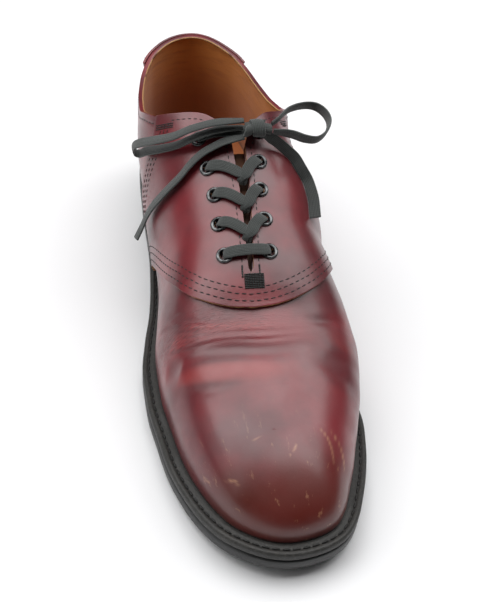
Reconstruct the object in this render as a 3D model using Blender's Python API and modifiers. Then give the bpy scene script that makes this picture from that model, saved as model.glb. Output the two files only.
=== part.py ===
"""Saddle shoe for the right foot, built on a last worked out from a few named sizes.

The shoe stands on its sole with the toe towards -Y, the medial side towards +X and the floor at z = 0.
A place on the last is given by its side (-1 lateral, +1 medial), its station (0 at the heel's back, 1 at
the toe's tip) and its girth share (0 at the feather edge above the welt, 1 on the ridge of the instep).
"""
import math

import bmesh
import bpy
import numpy as np
from mathutils import Vector

LATERAL, MEDIAL = -1, 1
SIDES = (LATERAL, MEDIAL)
SIDE_NAMES = {LATERAL: "lateral", MEDIAL: "medial"}

# Driving sizes of the shoe, in metres
LENGTH = 0.3055
SOLE_WIDTH = 0.1015
INSTEP_HEIGHT = 0.072
HEEL_HEIGHT = 0.0195
TOE_SPRING = 0.006
SOLE_THICKNESS = 0.007
WELT_THICKNESS = 0.0045
WELT_LEDGE = 0.0066
WELT_GRIP = 0.0055
WALL = 0.0022
INSOLE_THICKNESS = 0.003
LIFT_THICKNESS = 0.006
HEEL_TAPER = 0.0014
SOLE_ROUNDING = 0.0007

# Clearances between neighbours, in metres
SEAT_GAP = 0.0003
FEATHER_GAP = 0.0004
LINING_GAP = 0.0006
OVERLAY_GAP = 0.0006

# Overlays, tongue and throat, in metres
SADDLE_THICKNESS = 0.0015
BAND_THICKNESS = 0.0014
TONGUE_THICKNESS = 0.0024
TONGUE_WIDTH = 0.050
SLIT_TOP_GAP = 0.0058
SLIT_FOOT_GAP = 0.0012
SLIT_MARGIN = 0.0003
OVERLAY_HEM = 0.015

# Eyelets and lace, in metres
EYELET_HOLE_RADIUS = 0.0031
EYELET_TUBE_RADIUS = 0.0028
EYELET_BORE_RADIUS = 0.0023
EYELET_FLANGE_RADIUS = 0.0040
EYELET_FLANGE_HEIGHT = 0.0008
EYELET_REACH = 0.0001
EYELET_SIDES = 12
LACE_WIDTH = 0.0056
LACE_THICKNESS = 0.0012
LACE_GAP = 0.0005
CORD_RADIUS = 0.0019
KNOT_RADIUS = 0.0032

# Stations of the poles that the round ends of the last fan out from
HEEL_POLE = 0.15
TOE_POLE = 0.858

# Stations along the throat
SLIT_FOOT = 0.625
SLIT_LAST_OPEN = 0.617
TONGUE_FOOT = 0.665
TONGUE_TOP = 0.425
HEEL_BREAST = 0.215

# How finely the girth is measured, and how far apart two places are for a slope
GIRTH_SAMPLES = 48
SLOPE_STEP = 0.002
MERGE = 0.00001


class Table:
    """Rows of shares, read along the first column by a curve that never overshoots them."""

    def __init__(self, columns, rows, key=lambda share: share):
        self.key = key
        values = np.array(rows, float)
        self.at = key(values[:, 0])
        self.column = {name: values[:, i] for i, name in enumerate(columns)}

    def read(self, name, share):
        """The column's value at a share of the way along."""
        return monotone(self.key(np.asarray(share, float)), self.at, self.column[name])


def monotone(x, xs, ys):
    """A smooth curve through the points that keeps to the range between each two of them."""
    width = np.diff(xs)
    rise = np.diff(ys) / width
    slope = np.zeros(len(xs))
    slope[0], slope[-1] = rise[0], rise[-1]
    before, after = rise[:-1], rise[1:]
    turning = before * after <= 0
    safe_before = np.where(turning, 1.0, before)
    safe_after = np.where(turning, 1.0, after)
    weight_before = 2 * width[1:] + width[:-1]
    weight_after = width[1:] + 2 * width[:-1]
    mean = (weight_before + weight_after) / (weight_before / safe_before + weight_after / safe_after)
    slope[1:-1] = np.where(turning, 0.0, mean)
    i = np.clip(np.searchsorted(xs, x, side="right") - 1, 0, len(xs) - 2)
    h = width[i]
    t = np.clip((x - xs[i]) / h, 0.0, 1.0)
    return (
        ys[i] * (1 + 2 * t) * (1 - t) ** 2
        + ys[i + 1] * t * t * (3 - 2 * t)
        + h * slope[i] * t * (1 - t) ** 2
        - h * slope[i + 1] * t * t * (1 - t)
    )


def angle_of(station):
    """The angle round the outline, 0 at the heel's back and pi at the toe's tip, which keeps its ends round."""
    return np.arccos(np.clip(1 - 2 * np.asarray(station, float), -1.0, 1.0))


def station_of(angle):
    return (1 - np.cos(angle)) / 2


# Outline of the sole: half widths as shares of the sole's width, and the welt's ledge as a share of its own
PLAN = Table(
    ("station", "lateral", "medial", "ledge"),
    (
        (0.000, 0.000, 0.000, 0.50),
        (0.033, 0.210, 0.197, 0.45),
        (0.066, 0.278, 0.271, 0.45),
        (0.131, 0.330, 0.328, 0.45),
        (0.196, 0.345, 0.338, 0.45),
        (0.280, 0.350, 0.328, 0.45),
        (0.360, 0.345, 0.325, 0.50),
        (0.440, 0.360, 0.355, 0.65),
        (0.510, 0.386, 0.415, 0.85),
        (0.575, 0.428, 0.472, 1.00),
        (0.640, 0.456, 0.512, 1.00),
        (0.700, 0.453, 0.532, 1.00),
        (0.765, 0.428, 0.530, 1.00),
        (0.820, 0.402, 0.503, 1.00),
        (0.870, 0.360, 0.460, 1.00),
        (0.915, 0.304, 0.406, 1.00),
        (0.950, 0.236, 0.354, 0.95),
        (0.980, 0.130, 0.274, 0.90),
        (1.000, -0.060, 0.060, 0.90),
    ),
    key=angle_of,
)

# Underside of the sole: how much of the heel's height and of the toe spring it has
UNDERSIDE = Table(
    ("station", "heel", "toe"),
    (
        (0.00, 1.00, 0.00),
        (0.10, 0.99, 0.00),
        (0.20, 0.94, 0.00),
        (0.30, 0.75, 0.00),
        (0.38, 0.50, 0.00),
        (0.46, 0.26, 0.00),
        (0.54, 0.08, 0.00),
        (0.62, 0.00, 0.00),
        (0.74, 0.00, 0.00),
        (0.82, 0.00, 0.12),
        (0.90, 0.00, 0.42),
        (1.00, 0.00, 1.00),
    ),
)

# Cross sections of the last: the ridge's height above the feather edge as a share of the instep height, its
# place across as a share of the sole's width, how far each side bellies out past the feather edge as a share
# of the sole's width, and how square each side is
SECTIONS = Table(
    ("station", "ridge", "across", "lateral_belly", "medial_belly", "lateral_square", "medial_square"),
    (
        (0.00, 1.29, -0.012, 0.020, 0.020, 3.6, 3.6),
        (0.10, 1.27, -0.008, 0.032, 0.022, 3.6, 3.5),
        (0.20, 1.24, 0.010, 0.060, 0.070, 3.3, 3.3),
        (0.28, 1.18, 0.030, 0.080, 0.155, 3.0, 3.0),
        (0.344, 1.11, 0.050, 0.080, 0.145, 2.5, 2.5),
        (0.40, 1.05, 0.062, 0.065, 0.178, 2.3, 2.6),
        (0.458, 0.986, 0.062, 0.050, 0.190, 2.2, 2.5),
        (0.524, 0.910, 0.055, 0.030, 0.130, 2.2, 2.5),
        (0.602, 0.812, 0.036, 0.020, 0.130, 2.2, 2.5),
        (0.638, 0.740, 0.028, 0.018, 0.125, 2.2, 2.5),
        (0.674, 0.655, 0.023, 0.016, 0.120, 2.3, 2.5),
        (0.720, 0.586, 0.020, 0.010, 0.095, 2.4, 2.6),
        (0.769, 0.528, 0.018, 0.010, 0.060, 2.4, 2.5),
        (0.818, 0.476, 0.018, 0.010, 0.030, 2.4, 2.4),
        (0.858, 0.430, 0.020, 0.008, 0.010, 2.4, 2.4),
        (1.000, 0.270, 0.035, 0.004, 0.004, 2.3, 2.3),
    ),
)

# Top edge of the upper behind the slit, as girth shares
TOPLINE = Table(
    ("station", "lateral", "medial"),
    (
        (0.00, 0.470, 0.470),
        (0.08, 0.450, 0.450),
        (0.16, 0.440, 0.445),
        (0.24, 0.480, 0.475),
        (0.28, 0.550, 0.555),
        (0.31, 0.620, 0.650),
        (0.335, 0.730, 0.745),
        (0.362, 0.880, 0.860),
        (0.390, 0.953, 0.937),
        (0.415, 0.990, 0.965),
        (0.440, 1.000, 1.000),
    ),
)

# Edges of the saddle, as stations at shares of the way from the feather edge to the top
SADDLE_EDGES = Table(
    ("up", "rear", "front"),
    (
        (0.00, 0.365, 0.430),
        (0.15, 0.362, 0.460),
        (0.34, 0.357, 0.526),
        (0.51, 0.351, 0.588),
        (0.66, 0.346, 0.638),
        (0.80, 0.341, 0.661),
        (0.90, 0.331, 0.669),
        (1.00, 0.316, 0.672),
    ),
)

# Edge of the heel band, as stations at shares of the way from the feather edge to the top
BAND_EDGE = Table(
    ("up", "edge"),
    (
        (0.00, 0.060),
        (0.45, 0.052),
        (0.80, 0.066),
        (1.00, 0.082),
    ),
)

# Eyelets: station of each pair, and how far each eyelet is from the slit's middle, in metres
EYELET_PAIRS = (
    (1, 0.594, 0.0112, 0.0090),
    (2, 0.541, 0.0130, 0.0078),
    (3, 0.492, 0.0138, 0.0072),
    (4, 0.446, 0.0156, 0.0085),
    (5, 0.395, 0.0180, 0.0108),
)


def sole_point(side, angle):
    """The sole's outline as (across, station length from the heel's back)."""
    share = PLAN.read(SIDE_NAMES[side], station_of(angle))
    return np.stack([side * SOLE_WIDTH * share, LENGTH * station_of(angle)], axis=-1)


def inset_outline(side, angle, inset):
    """The sole's outline moved inwards, square to itself."""
    angle = np.asarray(angle, float)
    ahead = sole_point(side, np.minimum(angle + SLOPE_STEP, math.pi))
    behind = sole_point(side, np.maximum(angle - SLOPE_STEP, 0.0))
    along = ahead - behind
    along /= np.linalg.norm(along, axis=-1, keepdims=True)
    outward = side * np.stack([along[..., 1], -along[..., 0]], axis=-1)
    outward = np.where((angle < SLOPE_STEP)[..., None], np.array([0.0, -1.0]), outward)
    outward = np.where((angle > math.pi - SLOPE_STEP)[..., None], np.array([0.0, 1.0]), outward)
    return sole_point(side, angle) - outward * np.asarray(inset)[..., None]


def ledge(angle):
    """How far the welt stands out past the upper."""
    return WELT_LEDGE * PLAN.read("ledge", station_of(angle))


ACROSS_MIDDLE = SOLE_WIDTH * (PLAN.column["medial"].max() - PLAN.column["lateral"].max()) / 2


def placed(across, along, height):
    """World coordinates: the origin is under the middle of the sole's length and width."""
    return np.stack([across - ACROSS_MIDDLE, LENGTH / 2 - along, height], axis=-1)


def underside(along):
    """Height of the sole's underside at a length from the heel's back."""
    share = np.clip(np.asarray(along) / LENGTH, 0.0, 1.0)
    return HEEL_HEIGHT * UNDERSIDE.read("heel", share) + TOE_SPRING * UNDERSIDE.read("toe", share)


def welt_foot(along):
    return underside(along) + SOLE_THICKNESS + SEAT_GAP


def welt_top(along):
    return welt_foot(along) + WELT_THICKNESS


def feather(along):
    """Height of the upper's lower edge."""
    return welt_top(along) + FEATHER_GAP


def ridge_height(station):
    return feather(LENGTH * station) + INSTEP_HEIGHT * SECTIONS.read("ridge", station)


def raw_point(side, station, turn):
    """A point of the last's section, where turn runs from 0 at the feather edge to a quarter turn at the ridge."""
    name = SIDE_NAMES[side]
    foot = inset_outline(side, angle_of(station), ledge(angle_of(station)))
    base = feather(foot[..., 1])
    pole = np.clip(station, HEEL_POLE, TOE_POLE)
    top = np.stack([SOLE_WIDTH * SECTIONS.read("across", pole), LENGTH * pole], axis=-1)
    square = 2 / SECTIONS.read(f"{name}_square", station)
    inward = np.clip(np.cos(turn), 0.0, 1.0) ** square
    rise = np.clip(np.sin(turn), 0.0, 1.0) ** square
    outward = foot - top
    outward = outward / np.linalg.norm(outward, axis=-1, keepdims=True)
    belly = SOLE_WIDTH * SECTIONS.read(f"{name}_belly", station) * (1 - (1 - rise) ** 3) * inward
    plan = top + (foot - top) * inward[..., None] + outward * belly[..., None]
    slope = (ridge_height(pole + SLOPE_STEP) - ridge_height(pole - SLOPE_STEP)) / (2 * SLOPE_STEP * LENGTH)
    crown = ridge_height(pole) + slope * (plan[..., 1] - top[..., 1])
    height = base + (crown - base) * rise
    return placed(plan[..., 0], plan[..., 1], height)


def girth_lengths(side, station):
    """The lengths from the feather edge up the section, sampled over a quarter turn."""
    turns = np.linspace(0.0, math.pi / 2, GIRTH_SAMPLES)
    points = raw_point(side, np.asarray(station, float)[..., None] + 0 * turns, turns)
    steps = np.linalg.norm(np.diff(points, axis=-2), axis=-1)
    zero = np.zeros(steps.shape[:-1] + (1,))
    return turns, np.concatenate([zero, np.cumsum(steps, axis=-1)], axis=-1)


def girth(side, station):
    """The length from the feather edge to the ridge."""
    return girth_lengths(side, station)[1][..., -1]


def surface(side, station, share):
    """A point of the last by its side, station and girth share."""
    station, share = np.broadcast_arrays(np.asarray(station, float), np.asarray(share, float))
    turns, lengths = girth_lengths(side, station)
    wanted = (share * lengths[..., -1]).reshape(-1)
    rows = lengths.reshape(-1, GIRTH_SAMPLES)
    turn = np.array([np.interp(want, row, turns) for want, row in zip(wanted, rows)])
    return raw_point(side, station, turn.reshape(station.shape))


def last_point(side, station, share, lift=0.0):
    """A point of the last, lifted off it along its normal."""
    station, share = np.broadcast_arrays(np.asarray(station, float), np.asarray(share, float))
    here = surface(side, station, share)
    if lift == 0.0:
        return here
    return here + lift * last_normal(side, station, share)


def last_normal(side, station, share):
    """The last's outward normal."""
    low = np.clip(share, 0.01, 0.985)
    middle = np.clip(station, SLOPE_STEP, 1 - SLOPE_STEP)
    along = surface(side, middle + SLOPE_STEP, low) - surface(side, middle - SLOPE_STEP, low)
    up = surface(side, station, low + 0.01) - surface(side, station, low - 0.01)
    ends = (station < SLOPE_STEP) | (station > 1 - SLOPE_STEP)
    across = np.broadcast_to(np.array([1.0, 0.0, 0.0]), along.shape)
    turned = np.where((station > 0.5)[..., None], -side * across, side * across)
    along = np.where(ends[..., None], turned, along)
    normal = side * np.cross(up, along)
    on_ridge = share > 0.999
    flat = normal.copy()
    flat[..., 0] = 0.0
    normal = np.where(on_ridge[..., None], flat, normal)
    return normal / np.linalg.norm(normal, axis=-1, keepdims=True)


def slit_gap(station):
    """Width of the slit between the facings."""
    down = np.clip((station - 0.40) / (SLIT_FOOT - 0.40), 0.0, 1.0)
    return SLIT_TOP_GAP + (SLIT_FOOT_GAP - SLIT_TOP_GAP) * down


def top_share(side, station, margin=0.0):
    """Girth share of the upper's top edge: the collar, then the slit, then the closed ridge."""
    station = np.asarray(station, float)
    slit = 1 - (slit_gap(station) / 2 + margin) / girth(side, station)
    topline = TOPLINE.read(SIDE_NAMES[side], np.minimum(station, TOPLINE.at[-1]))
    return np.where(station > SLIT_LAST_OPEN + SLOPE_STEP, 1.0, np.minimum(slit, topline))


def material(name, color, roughness, metallic=0.0):
    """A plain finish."""
    finish = bpy.data.materials.new(name)
    finish.use_nodes = True
    shader = finish.node_tree.nodes["Principled BSDF"]
    shader.inputs["Base Color"].default_value = (*color, 1.0)
    shader.inputs["Roughness"].default_value = roughness
    shader.inputs["Metallic"].default_value = metallic
    return finish


def new_object(name, mesh, finish, collection):
    """An object for a mesh, with one finish, shaded smooth up to a crease angle."""
    obj = bpy.data.objects.new(name, mesh)
    collection.objects.link(obj)
    if finish is not None:
        mesh.materials.append(finish)
    mesh.shade_smooth()
    mesh.set_sharp_from_angle(angle=math.radians(40))
    return obj


def mesh_from(name, points, faces, split=False):
    """A mesh whose coincident points are merged, its quads split along their shorter diagonals if asked."""
    mesh = bpy.data.meshes.new(name)
    cage = bmesh.new()
    verts = [cage.verts.new(Vector(point)) for point in points]
    for face in faces:
        cage.faces.new([verts[i] for i in face])
    bmesh.ops.remove_doubles(cage, verts=cage.verts, dist=MERGE)
    loose = [vert for vert in cage.verts if not vert.link_faces]
    bmesh.ops.delete(cage, geom=loose, context="VERTS")
    if split:
        bmesh.ops.triangulate(cage, faces=cage.faces, quad_method="SHORT_EDGE")
    cage.to_mesh(mesh)
    cage.free()
    return mesh


def grid_faces(rows, columns, start, flip):
    """Quads of a grid of points numbered row by row."""
    faces = []
    for i in range(rows - 1):
        for j in range(columns - 1):
            a = start + i * columns + j
            quad = (a, a + columns, a + columns + 1, a + 1)
            faces.append(quad[::-1] if flip else quad)
    return faces


def two_sided(name, place):
    """A sheet over both sides of the last; place gives a side's grid of points, heel to toe by foot to top."""
    points, faces = [], []
    for side in SIDES:
        grid = place(side)
        faces += grid_faces(grid.shape[0], grid.shape[1], len(points), side == MEDIAL)
        points += list(grid.reshape(-1, 3))
    return mesh_from(name, points, faces, split=True)


def slab(name, angles, layers):
    """A closed body from stacked outlines. A layer is an inset, or one that varies, and a height function."""
    count = len(angles)
    ring, points = 2 * count, []
    for inset, height in layers:
        amount = inset(angles) if callable(inset) else np.full(count, inset)
        for side in SIDES:
            plan = inset_outline(side, angles, amount)
            points += list(placed(plan[:, 0], plan[:, 1], height(plan[:, 1])))
    faces = []
    for k in range(len(layers) - 1):
        low, high = k * ring, (k + 1) * ring
        for i in range(count - 1):
            faces.append((low + i, low + i + 1, high + i + 1, high + i))
            a, b = low + count + i, high + count + i
            faces.append((b, b + 1, a + 1, a))
        end, other = count - 1, 2 * count - 1
        faces.append((low + end, low + other, high + other, high + end))
    top = (len(layers) - 1) * ring
    for i in range(count - 1):
        faces.append((count + i, count + i + 1, i + 1, i))
        faces.append((top + i, top + i + 1, top + count + i + 1, top + count + i))
    points = np.array(points)
    alive = [face for face in faces if distinct(points, face) >= 3]
    return mesh_from(name, points, alive)


def distinct(points, face):
    """How many different places a face's corners have."""
    return len({tuple(np.round(points[i] / MERGE).astype(int)) for i in face})


def thicken(obj, thickness, outward):
    """Solidify an open sheet to one side."""
    solid = obj.modifiers.new("Wall", "SOLIDIFY")
    solid.thickness = thickness
    solid.offset = 1.0 if outward else -1.0
    solid.use_even_offset = True
    solid.use_quality_normals = True
    return obj


def outline_angles():
    """Angles for the sole, welt and insole: close together round the toe and heel."""
    stations = np.concatenate([
        station_of(np.linspace(0.0, angle_of(0.14), 7)),
        np.linspace(0.18, 0.86, 19),
        station_of(np.linspace(angle_of(0.89), math.pi, 8)),
    ])
    return angle_of(stations)


def heel_angles():
    """Angles of the heel, from its back to its breast."""
    return np.linspace(0.0, float(angle_of(HEEL_BREAST)), 9)


def heel_top(along):
    return underside(along) - SEAT_GAP


def level(height):
    """A height function that is the same everywhere."""
    return lambda along: np.full(np.shape(along), height)


def make_outsole(finish, collection):
    layers = (
        (SOLE_ROUNDING, underside),
        (0.0, lambda along: underside(along) + SOLE_ROUNDING),
        (0.0, lambda along: underside(along) + SOLE_THICKNESS),
    )
    return new_object("outsole", slab("outsole", outline_angles(), layers), finish, collection)


def make_heel(stack_finish, lift_finish, collection):
    stack = (
        (HEEL_TAPER, level(LIFT_THICKNESS + SEAT_GAP)),
        (0.0, heel_top),
    )
    lift = (
        (HEEL_TAPER, level(0.0)),
        (HEEL_TAPER, level(LIFT_THICKNESS)),
    )
    new_object("heel_stack", slab("heel_stack", heel_angles(), stack), stack_finish, collection)
    new_object("heel_lift", slab("heel_lift", heel_angles(), lift), lift_finish, collection)


def welt_reach(angle):
    """How far in from the sole's edge the welt ends, under the upper's wall."""
    return ledge(angle) + WELT_GRIP


def make_welt(finish, collection):
    """A flat ring on the sole, all the way round."""
    angles = outline_angles()
    loop = []
    for side, order in ((LATERAL, angles), (MEDIAL, angles[::-1][1:-1])):
        for angle in order:
            outer = inset_outline(side, angle, 0.0)
            inner = inset_outline(side, angle, welt_reach(angle))
            loop.append([
                placed(outer[0], outer[1], welt_foot(outer[1])),
                placed(inner[0], inner[1], welt_foot(inner[1])),
                placed(inner[0], inner[1], welt_top(inner[1])),
                placed(outer[0], outer[1], welt_top(outer[1])),
            ])
    corners = np.array(loop).reshape(-1, 3)
    faces = []
    for i in range(len(loop)):
        here, there = 4 * i, 4 * ((i + 1) % len(loop))
        for k in range(4):
            n = (k + 1) % 4
            faces.append((here + n, there + n, there + k, here + k))
    return new_object("welt", mesh_from("welt", corners, faces), finish, collection)


def make_insole(finish, collection):
    """Fills the welt's ring, and lies over it inside the upper's wall."""
    def over_welt(along):
        return welt_top(along) + SEAT_GAP

    def reach(angle):
        return ledge(angle) + WALL + LINING_GAP

    layers = (
        (lambda angle: welt_reach(angle) + SEAT_GAP, welt_foot),
        (lambda angle: welt_reach(angle) + SEAT_GAP, over_welt),
        (reach, over_welt),
        (reach, lambda along: over_welt(along) + INSOLE_THICKNESS),
    )
    return new_object("insole", slab("insole", outline_angles(), layers), finish, collection)


def upper_stations():
    return np.concatenate([
        station_of(np.linspace(0.0, angle_of(0.13), 7)),
        np.linspace(0.16, 0.30, 6),
        np.linspace(0.32, 0.46, 8),
        np.linspace(0.49, 0.58, 4),
        [0.60, SLIT_LAST_OPEN, SLIT_FOOT],
        np.linspace(0.655, TOE_POLE, 7),
        station_of(np.linspace(angle_of(TOE_POLE), math.pi, 8))[1:],
    ])


# Girth shares of a sheet's columns, closer together where the instep bends
GIRTH_COLUMNS = 1 - np.linspace(1.0, 0.0, 11) ** 1.25


def upper_grid(side):
    stations = upper_stations()[:, None]
    return last_point(side, stations, top_share(side, stations) * GIRTH_COLUMNS)


def overlay_shares(top):
    """Girth shares of an overlay's columns, from its hem above the welt to the top edge."""
    return OVERLAY_HEM + (top - OVERLAY_HEM) * GIRTH_COLUMNS


def saddle_grid(side):
    closing = (SLIT_FOOT - SADDLE_EDGES.read("rear", 1.0)) / (
        SADDLE_EDGES.read("front", 1.0) - SADDLE_EDGES.read("rear", 1.0))
    last_open = closing * (SLIT_LAST_OPEN - SADDLE_EDGES.read("rear", 1.0)) / (
        SLIT_FOOT - SADDLE_EDGES.read("rear", 1.0))
    forward = np.concatenate([np.linspace(0.0, last_open, 13), np.linspace(closing, 1.0, 4)])[:, None]
    rear = SADDLE_EDGES.read("rear", GIRTH_COLUMNS)
    front = SADDLE_EDGES.read("front", GIRTH_COLUMNS)
    stations = rear + (front - rear) * forward
    return last_point(side, stations, overlay_shares(top_share(side, stations[:, -1:], SLIT_MARGIN)), OVERLAY_GAP)


def band_grid(side):
    edge = angle_of(BAND_EDGE.read("edge", GIRTH_COLUMNS))
    stations = station_of(np.linspace(0.0, 1.0, 6)[:, None] * edge)
    return last_point(side, stations, overlay_shares(top_share(side, stations[:, -1:])), OVERLAY_GAP)


def across_ridge(offset, station, lift=0.0):
    """A point at a distance across from the ridge, medial positive, and its outward normal."""
    side = MEDIAL if offset >= 0 else LATERAL
    share = 1 - abs(offset) / float(girth(side, station))
    return last_point(side, station, share, lift), last_normal(side, np.array(station), np.array(share))


def make_upper(finish, cutter, collection):
    obj = new_object("upper", two_sided("upper", upper_grid), finish, collection)
    thicken(obj, WALL, outward=False)
    return pierce(obj, cutter)


def make_saddle(finish, cutter, collection):
    obj = new_object("saddle", two_sided("saddle", saddle_grid), finish, collection)
    thicken(obj, SADDLE_THICKNESS, outward=True)
    return pierce(obj, cutter)


def make_heel_band(finish, collection):
    obj = new_object("heel_band", two_sided("heel_band", band_grid), finish, collection)
    return thicken(obj, BAND_THICKNESS, outward=True)


def make_tongue(finish, collection):
    """A leather strip under the facings, sewn in at the vamp."""
    stations = np.linspace(TONGUE_TOP, TONGUE_FOOT, 12)
    offsets = np.linspace(-TONGUE_WIDTH / 2, TONGUE_WIDTH / 2, 9)
    points = [across_ridge(offset, station, -(WALL + LINING_GAP))[0] for station in stations for offset in offsets]
    faces = grid_faces(len(stations), len(offsets), 0, False)
    obj = new_object("tongue", mesh_from("tongue", points, faces), finish, collection)
    return thicken(obj, TONGUE_THICKNESS, outward=False)


def pierce(obj, cutter):
    """Cut the eyelet holes through a wall."""
    cut = obj.modifiers.new("Eyelet holes", "BOOLEAN")
    cut.operation = "DIFFERENCE"
    cut.object = cutter
    return obj


def eyelet_places():
    """Each eyelet's name, its seat on the saddle and its outward normal."""
    for number, station, lateral, medial in EYELET_PAIRS:
        for side, offset in ((LATERAL, -lateral), (MEDIAL, medial)):
            seat, normal = across_ridge(offset, station, OVERLAY_GAP + SADDLE_THICKNESS)
            yield f"eyelet_{SIDE_NAMES[side]}_{number}", Vector(seat), Vector(normal)


def turned_ring(profile, seat, normal):
    """A ring turned from a closed profile of (radius, height) about the normal at its seat."""
    across = normal.orthogonal().normalized()
    other = normal.cross(across)
    points = []
    for k in range(EYELET_SIDES):
        turn = 2 * math.pi * k / EYELET_SIDES
        spoke = across * math.cos(turn) + other * math.sin(turn)
        points += [seat + spoke * radius + normal * height for radius, height in profile]
    faces, size = [], len(profile)
    for k in range(EYELET_SIDES):
        here, there = k * size, (k + 1) % EYELET_SIDES * size
        for i in range(size):
            n = (i + 1) % size
            faces.append((there + i, there + n, here + n, here + i))
    return points, faces


def eyelet_depth():
    """How deep a tube goes: through the saddle, its clearance and the upper."""
    return SADDLE_THICKNESS + OVERLAY_GAP + WALL + EYELET_REACH


def make_eyelets(finish, collection):
    """Flanged rings, seated on the saddle with their tubes through it and the upper."""
    profile = (
        (EYELET_BORE_RADIUS, -eyelet_depth()),
        (EYELET_TUBE_RADIUS, -eyelet_depth()),
        (EYELET_TUBE_RADIUS, SEAT_GAP),
        (EYELET_FLANGE_RADIUS, SEAT_GAP),
        (EYELET_TUBE_RADIUS + EYELET_FLANGE_HEIGHT / 2, SEAT_GAP + EYELET_FLANGE_HEIGHT),
        (EYELET_BORE_RADIUS, SEAT_GAP + EYELET_FLANGE_HEIGHT / 2),
    )
    for name, seat, normal in eyelet_places():
        points, faces = turned_ring(profile, seat, normal)
        new_object(name, mesh_from(name, points, faces), finish, collection)


def make_hole_cutter(collection):
    """One mesh of pins that cut the eyelet holes."""
    depth = 2 * (eyelet_depth() + EYELET_FLANGE_RADIUS)
    cage = bmesh.new()
    for _, seat, normal in eyelet_places():
        turn = normal.to_track_quat("Z", "Y").to_matrix().to_4x4()
        turn.translation = seat
        bmesh.ops.create_cone(cage, cap_ends=True, segments=EYELET_SIDES, radius1=EYELET_HOLE_RADIUS,
                              radius2=EYELET_HOLE_RADIUS, depth=depth, matrix=turn)
    mesh = bpy.data.meshes.new("eyelet_hole_cutter")
    cage.to_mesh(mesh)
    cage.free()
    cutter = new_object("eyelet_hole_cutter", mesh, None, collection)
    cutter.hide_render = True
    cutter.display_type = "WIRE"
    return cutter


def ribbon(name, path, normals, finish, collection):
    """A flat lace swept along a path, lying square to the normals."""
    path, normals = np.array(path), np.array(normals)
    along = np.gradient(path, axis=0)
    along /= np.linalg.norm(along, axis=1, keepdims=True)
    across = np.cross(along, normals)
    across /= np.linalg.norm(across, axis=1, keepdims=True)
    up = np.cross(across, along)
    half, thin = LACE_WIDTH / 2, LACE_THICKNESS / 2
    ring = ((half, 0.0), (0.8 * half, thin), (-0.8 * half, thin), (-half, 0.0), (-0.8 * half, -thin),
            (0.8 * half, -thin))
    points = [p + a * x + u * y for p, a, u in zip(path, across, up) for x, y in ring]
    count, faces = len(ring), []
    for i in range(len(path) - 1):
        for k in range(count):
            n = (k + 1) % count
            here, there = i * count, (i + 1) * count
            faces.append((there + k, there + n, here + n, here + k))
    last = (len(path) - 1) * count
    faces.append(tuple(range(count)))
    faces.append(tuple(last + k for k in range(count))[::-1])
    return new_object(name, mesh_from(name, points, faces), finish, collection)


def lace_lift():
    """Height of a lace's middle where it passes over an eyelet."""
    return (OVERLAY_GAP + SADDLE_THICKNESS + SEAT_GAP + EYELET_FLANGE_HEIGHT + LACE_GAP
            + LACE_THICKNESS / 2)


# How far towards the toe each crossing dips between its eyelets, as a station
LACE_DIPS = {1: 0.0, 2: 0.024, 3: 0.024, 4: 0.024, 5: 0.006}
LACE_STEPS = 9

# The bow's knot, loops and free ends: points across from the heel's middle line, along from the heel's back
# and above the floor, in metres
LACE_ROUTES = {
    "lace_knot": (
        (0.0090, 0.1275, 0.1043), (0.0130, 0.1277, 0.1046), (0.0175, 0.1277, 0.1040), (0.0217, 0.1275, 0.1030),
    ),
    "lace_loop_lateral": (
        (0.0084, 0.1258, 0.1072), (-0.0048, 0.1256, 0.1065), (-0.0160, 0.1245, 0.1028), (-0.0248, 0.1214, 0.0967),
        (-0.0330, 0.1148, 0.0904), (-0.0395, 0.1070, 0.0838), (-0.0420, 0.1030, 0.0792), (-0.0417, 0.1012, 0.0752),
        (-0.0390, 0.1032, 0.0753), (-0.0357, 0.1082, 0.0798), (-0.0298, 0.1154, 0.0857), (-0.0226, 0.1213, 0.0916),
        (-0.0142, 0.1252, 0.0985), (-0.0040, 0.1253, 0.1021), (0.0084, 0.1253, 0.1031),
    ),
    "lace_loop_medial": (
        (0.0226, 0.1250, 0.1044), (0.0258, 0.1228, 0.1052), (0.0325, 0.1155, 0.1058), (0.0410, 0.1105, 0.1050),
        (0.0475, 0.1105, 0.1043), (0.0512, 0.1160, 0.1038), (0.0515, 0.1240, 0.1035), (0.0480, 0.1320, 0.1030),
        (0.0425, 0.1368, 0.1025), (0.0370, 0.1358, 0.1025), (0.0310, 0.1315, 0.1025), (0.0226, 0.1292, 0.1029),
    ),
    "lace_end_lateral": (
        (0.0084, 0.1303, 0.1010), (-0.0004, 0.1303, 0.0991), (-0.0070, 0.1309, 0.0962), (-0.0122, 0.1318, 0.0933),
        (-0.0178, 0.1336, 0.0886), (-0.0227, 0.1354, 0.0830), (-0.0282, 0.1353, 0.0762), (-0.0325, 0.1339, 0.0693),
        (-0.0358, 0.1316, 0.0624), (-0.0382, 0.1294, 0.0552), (-0.0404, 0.1290, 0.0482), (-0.0436, 0.1315, 0.0426),
    ),
    "lace_end_medial": (
        (0.0226, 0.1294, 0.0988), (0.0256, 0.1297, 0.0966), (0.0290, 0.1302, 0.0936), (0.0342, 0.1317, 0.0889),
        (0.0373, 0.1350, 0.0846), (0.0402, 0.1385, 0.0803), (0.0412, 0.1440, 0.0777), (0.0416, 0.1485, 0.0755),
        (0.0413, 0.1530, 0.0735), (0.0409, 0.1575, 0.0716),
    ),
}


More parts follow.
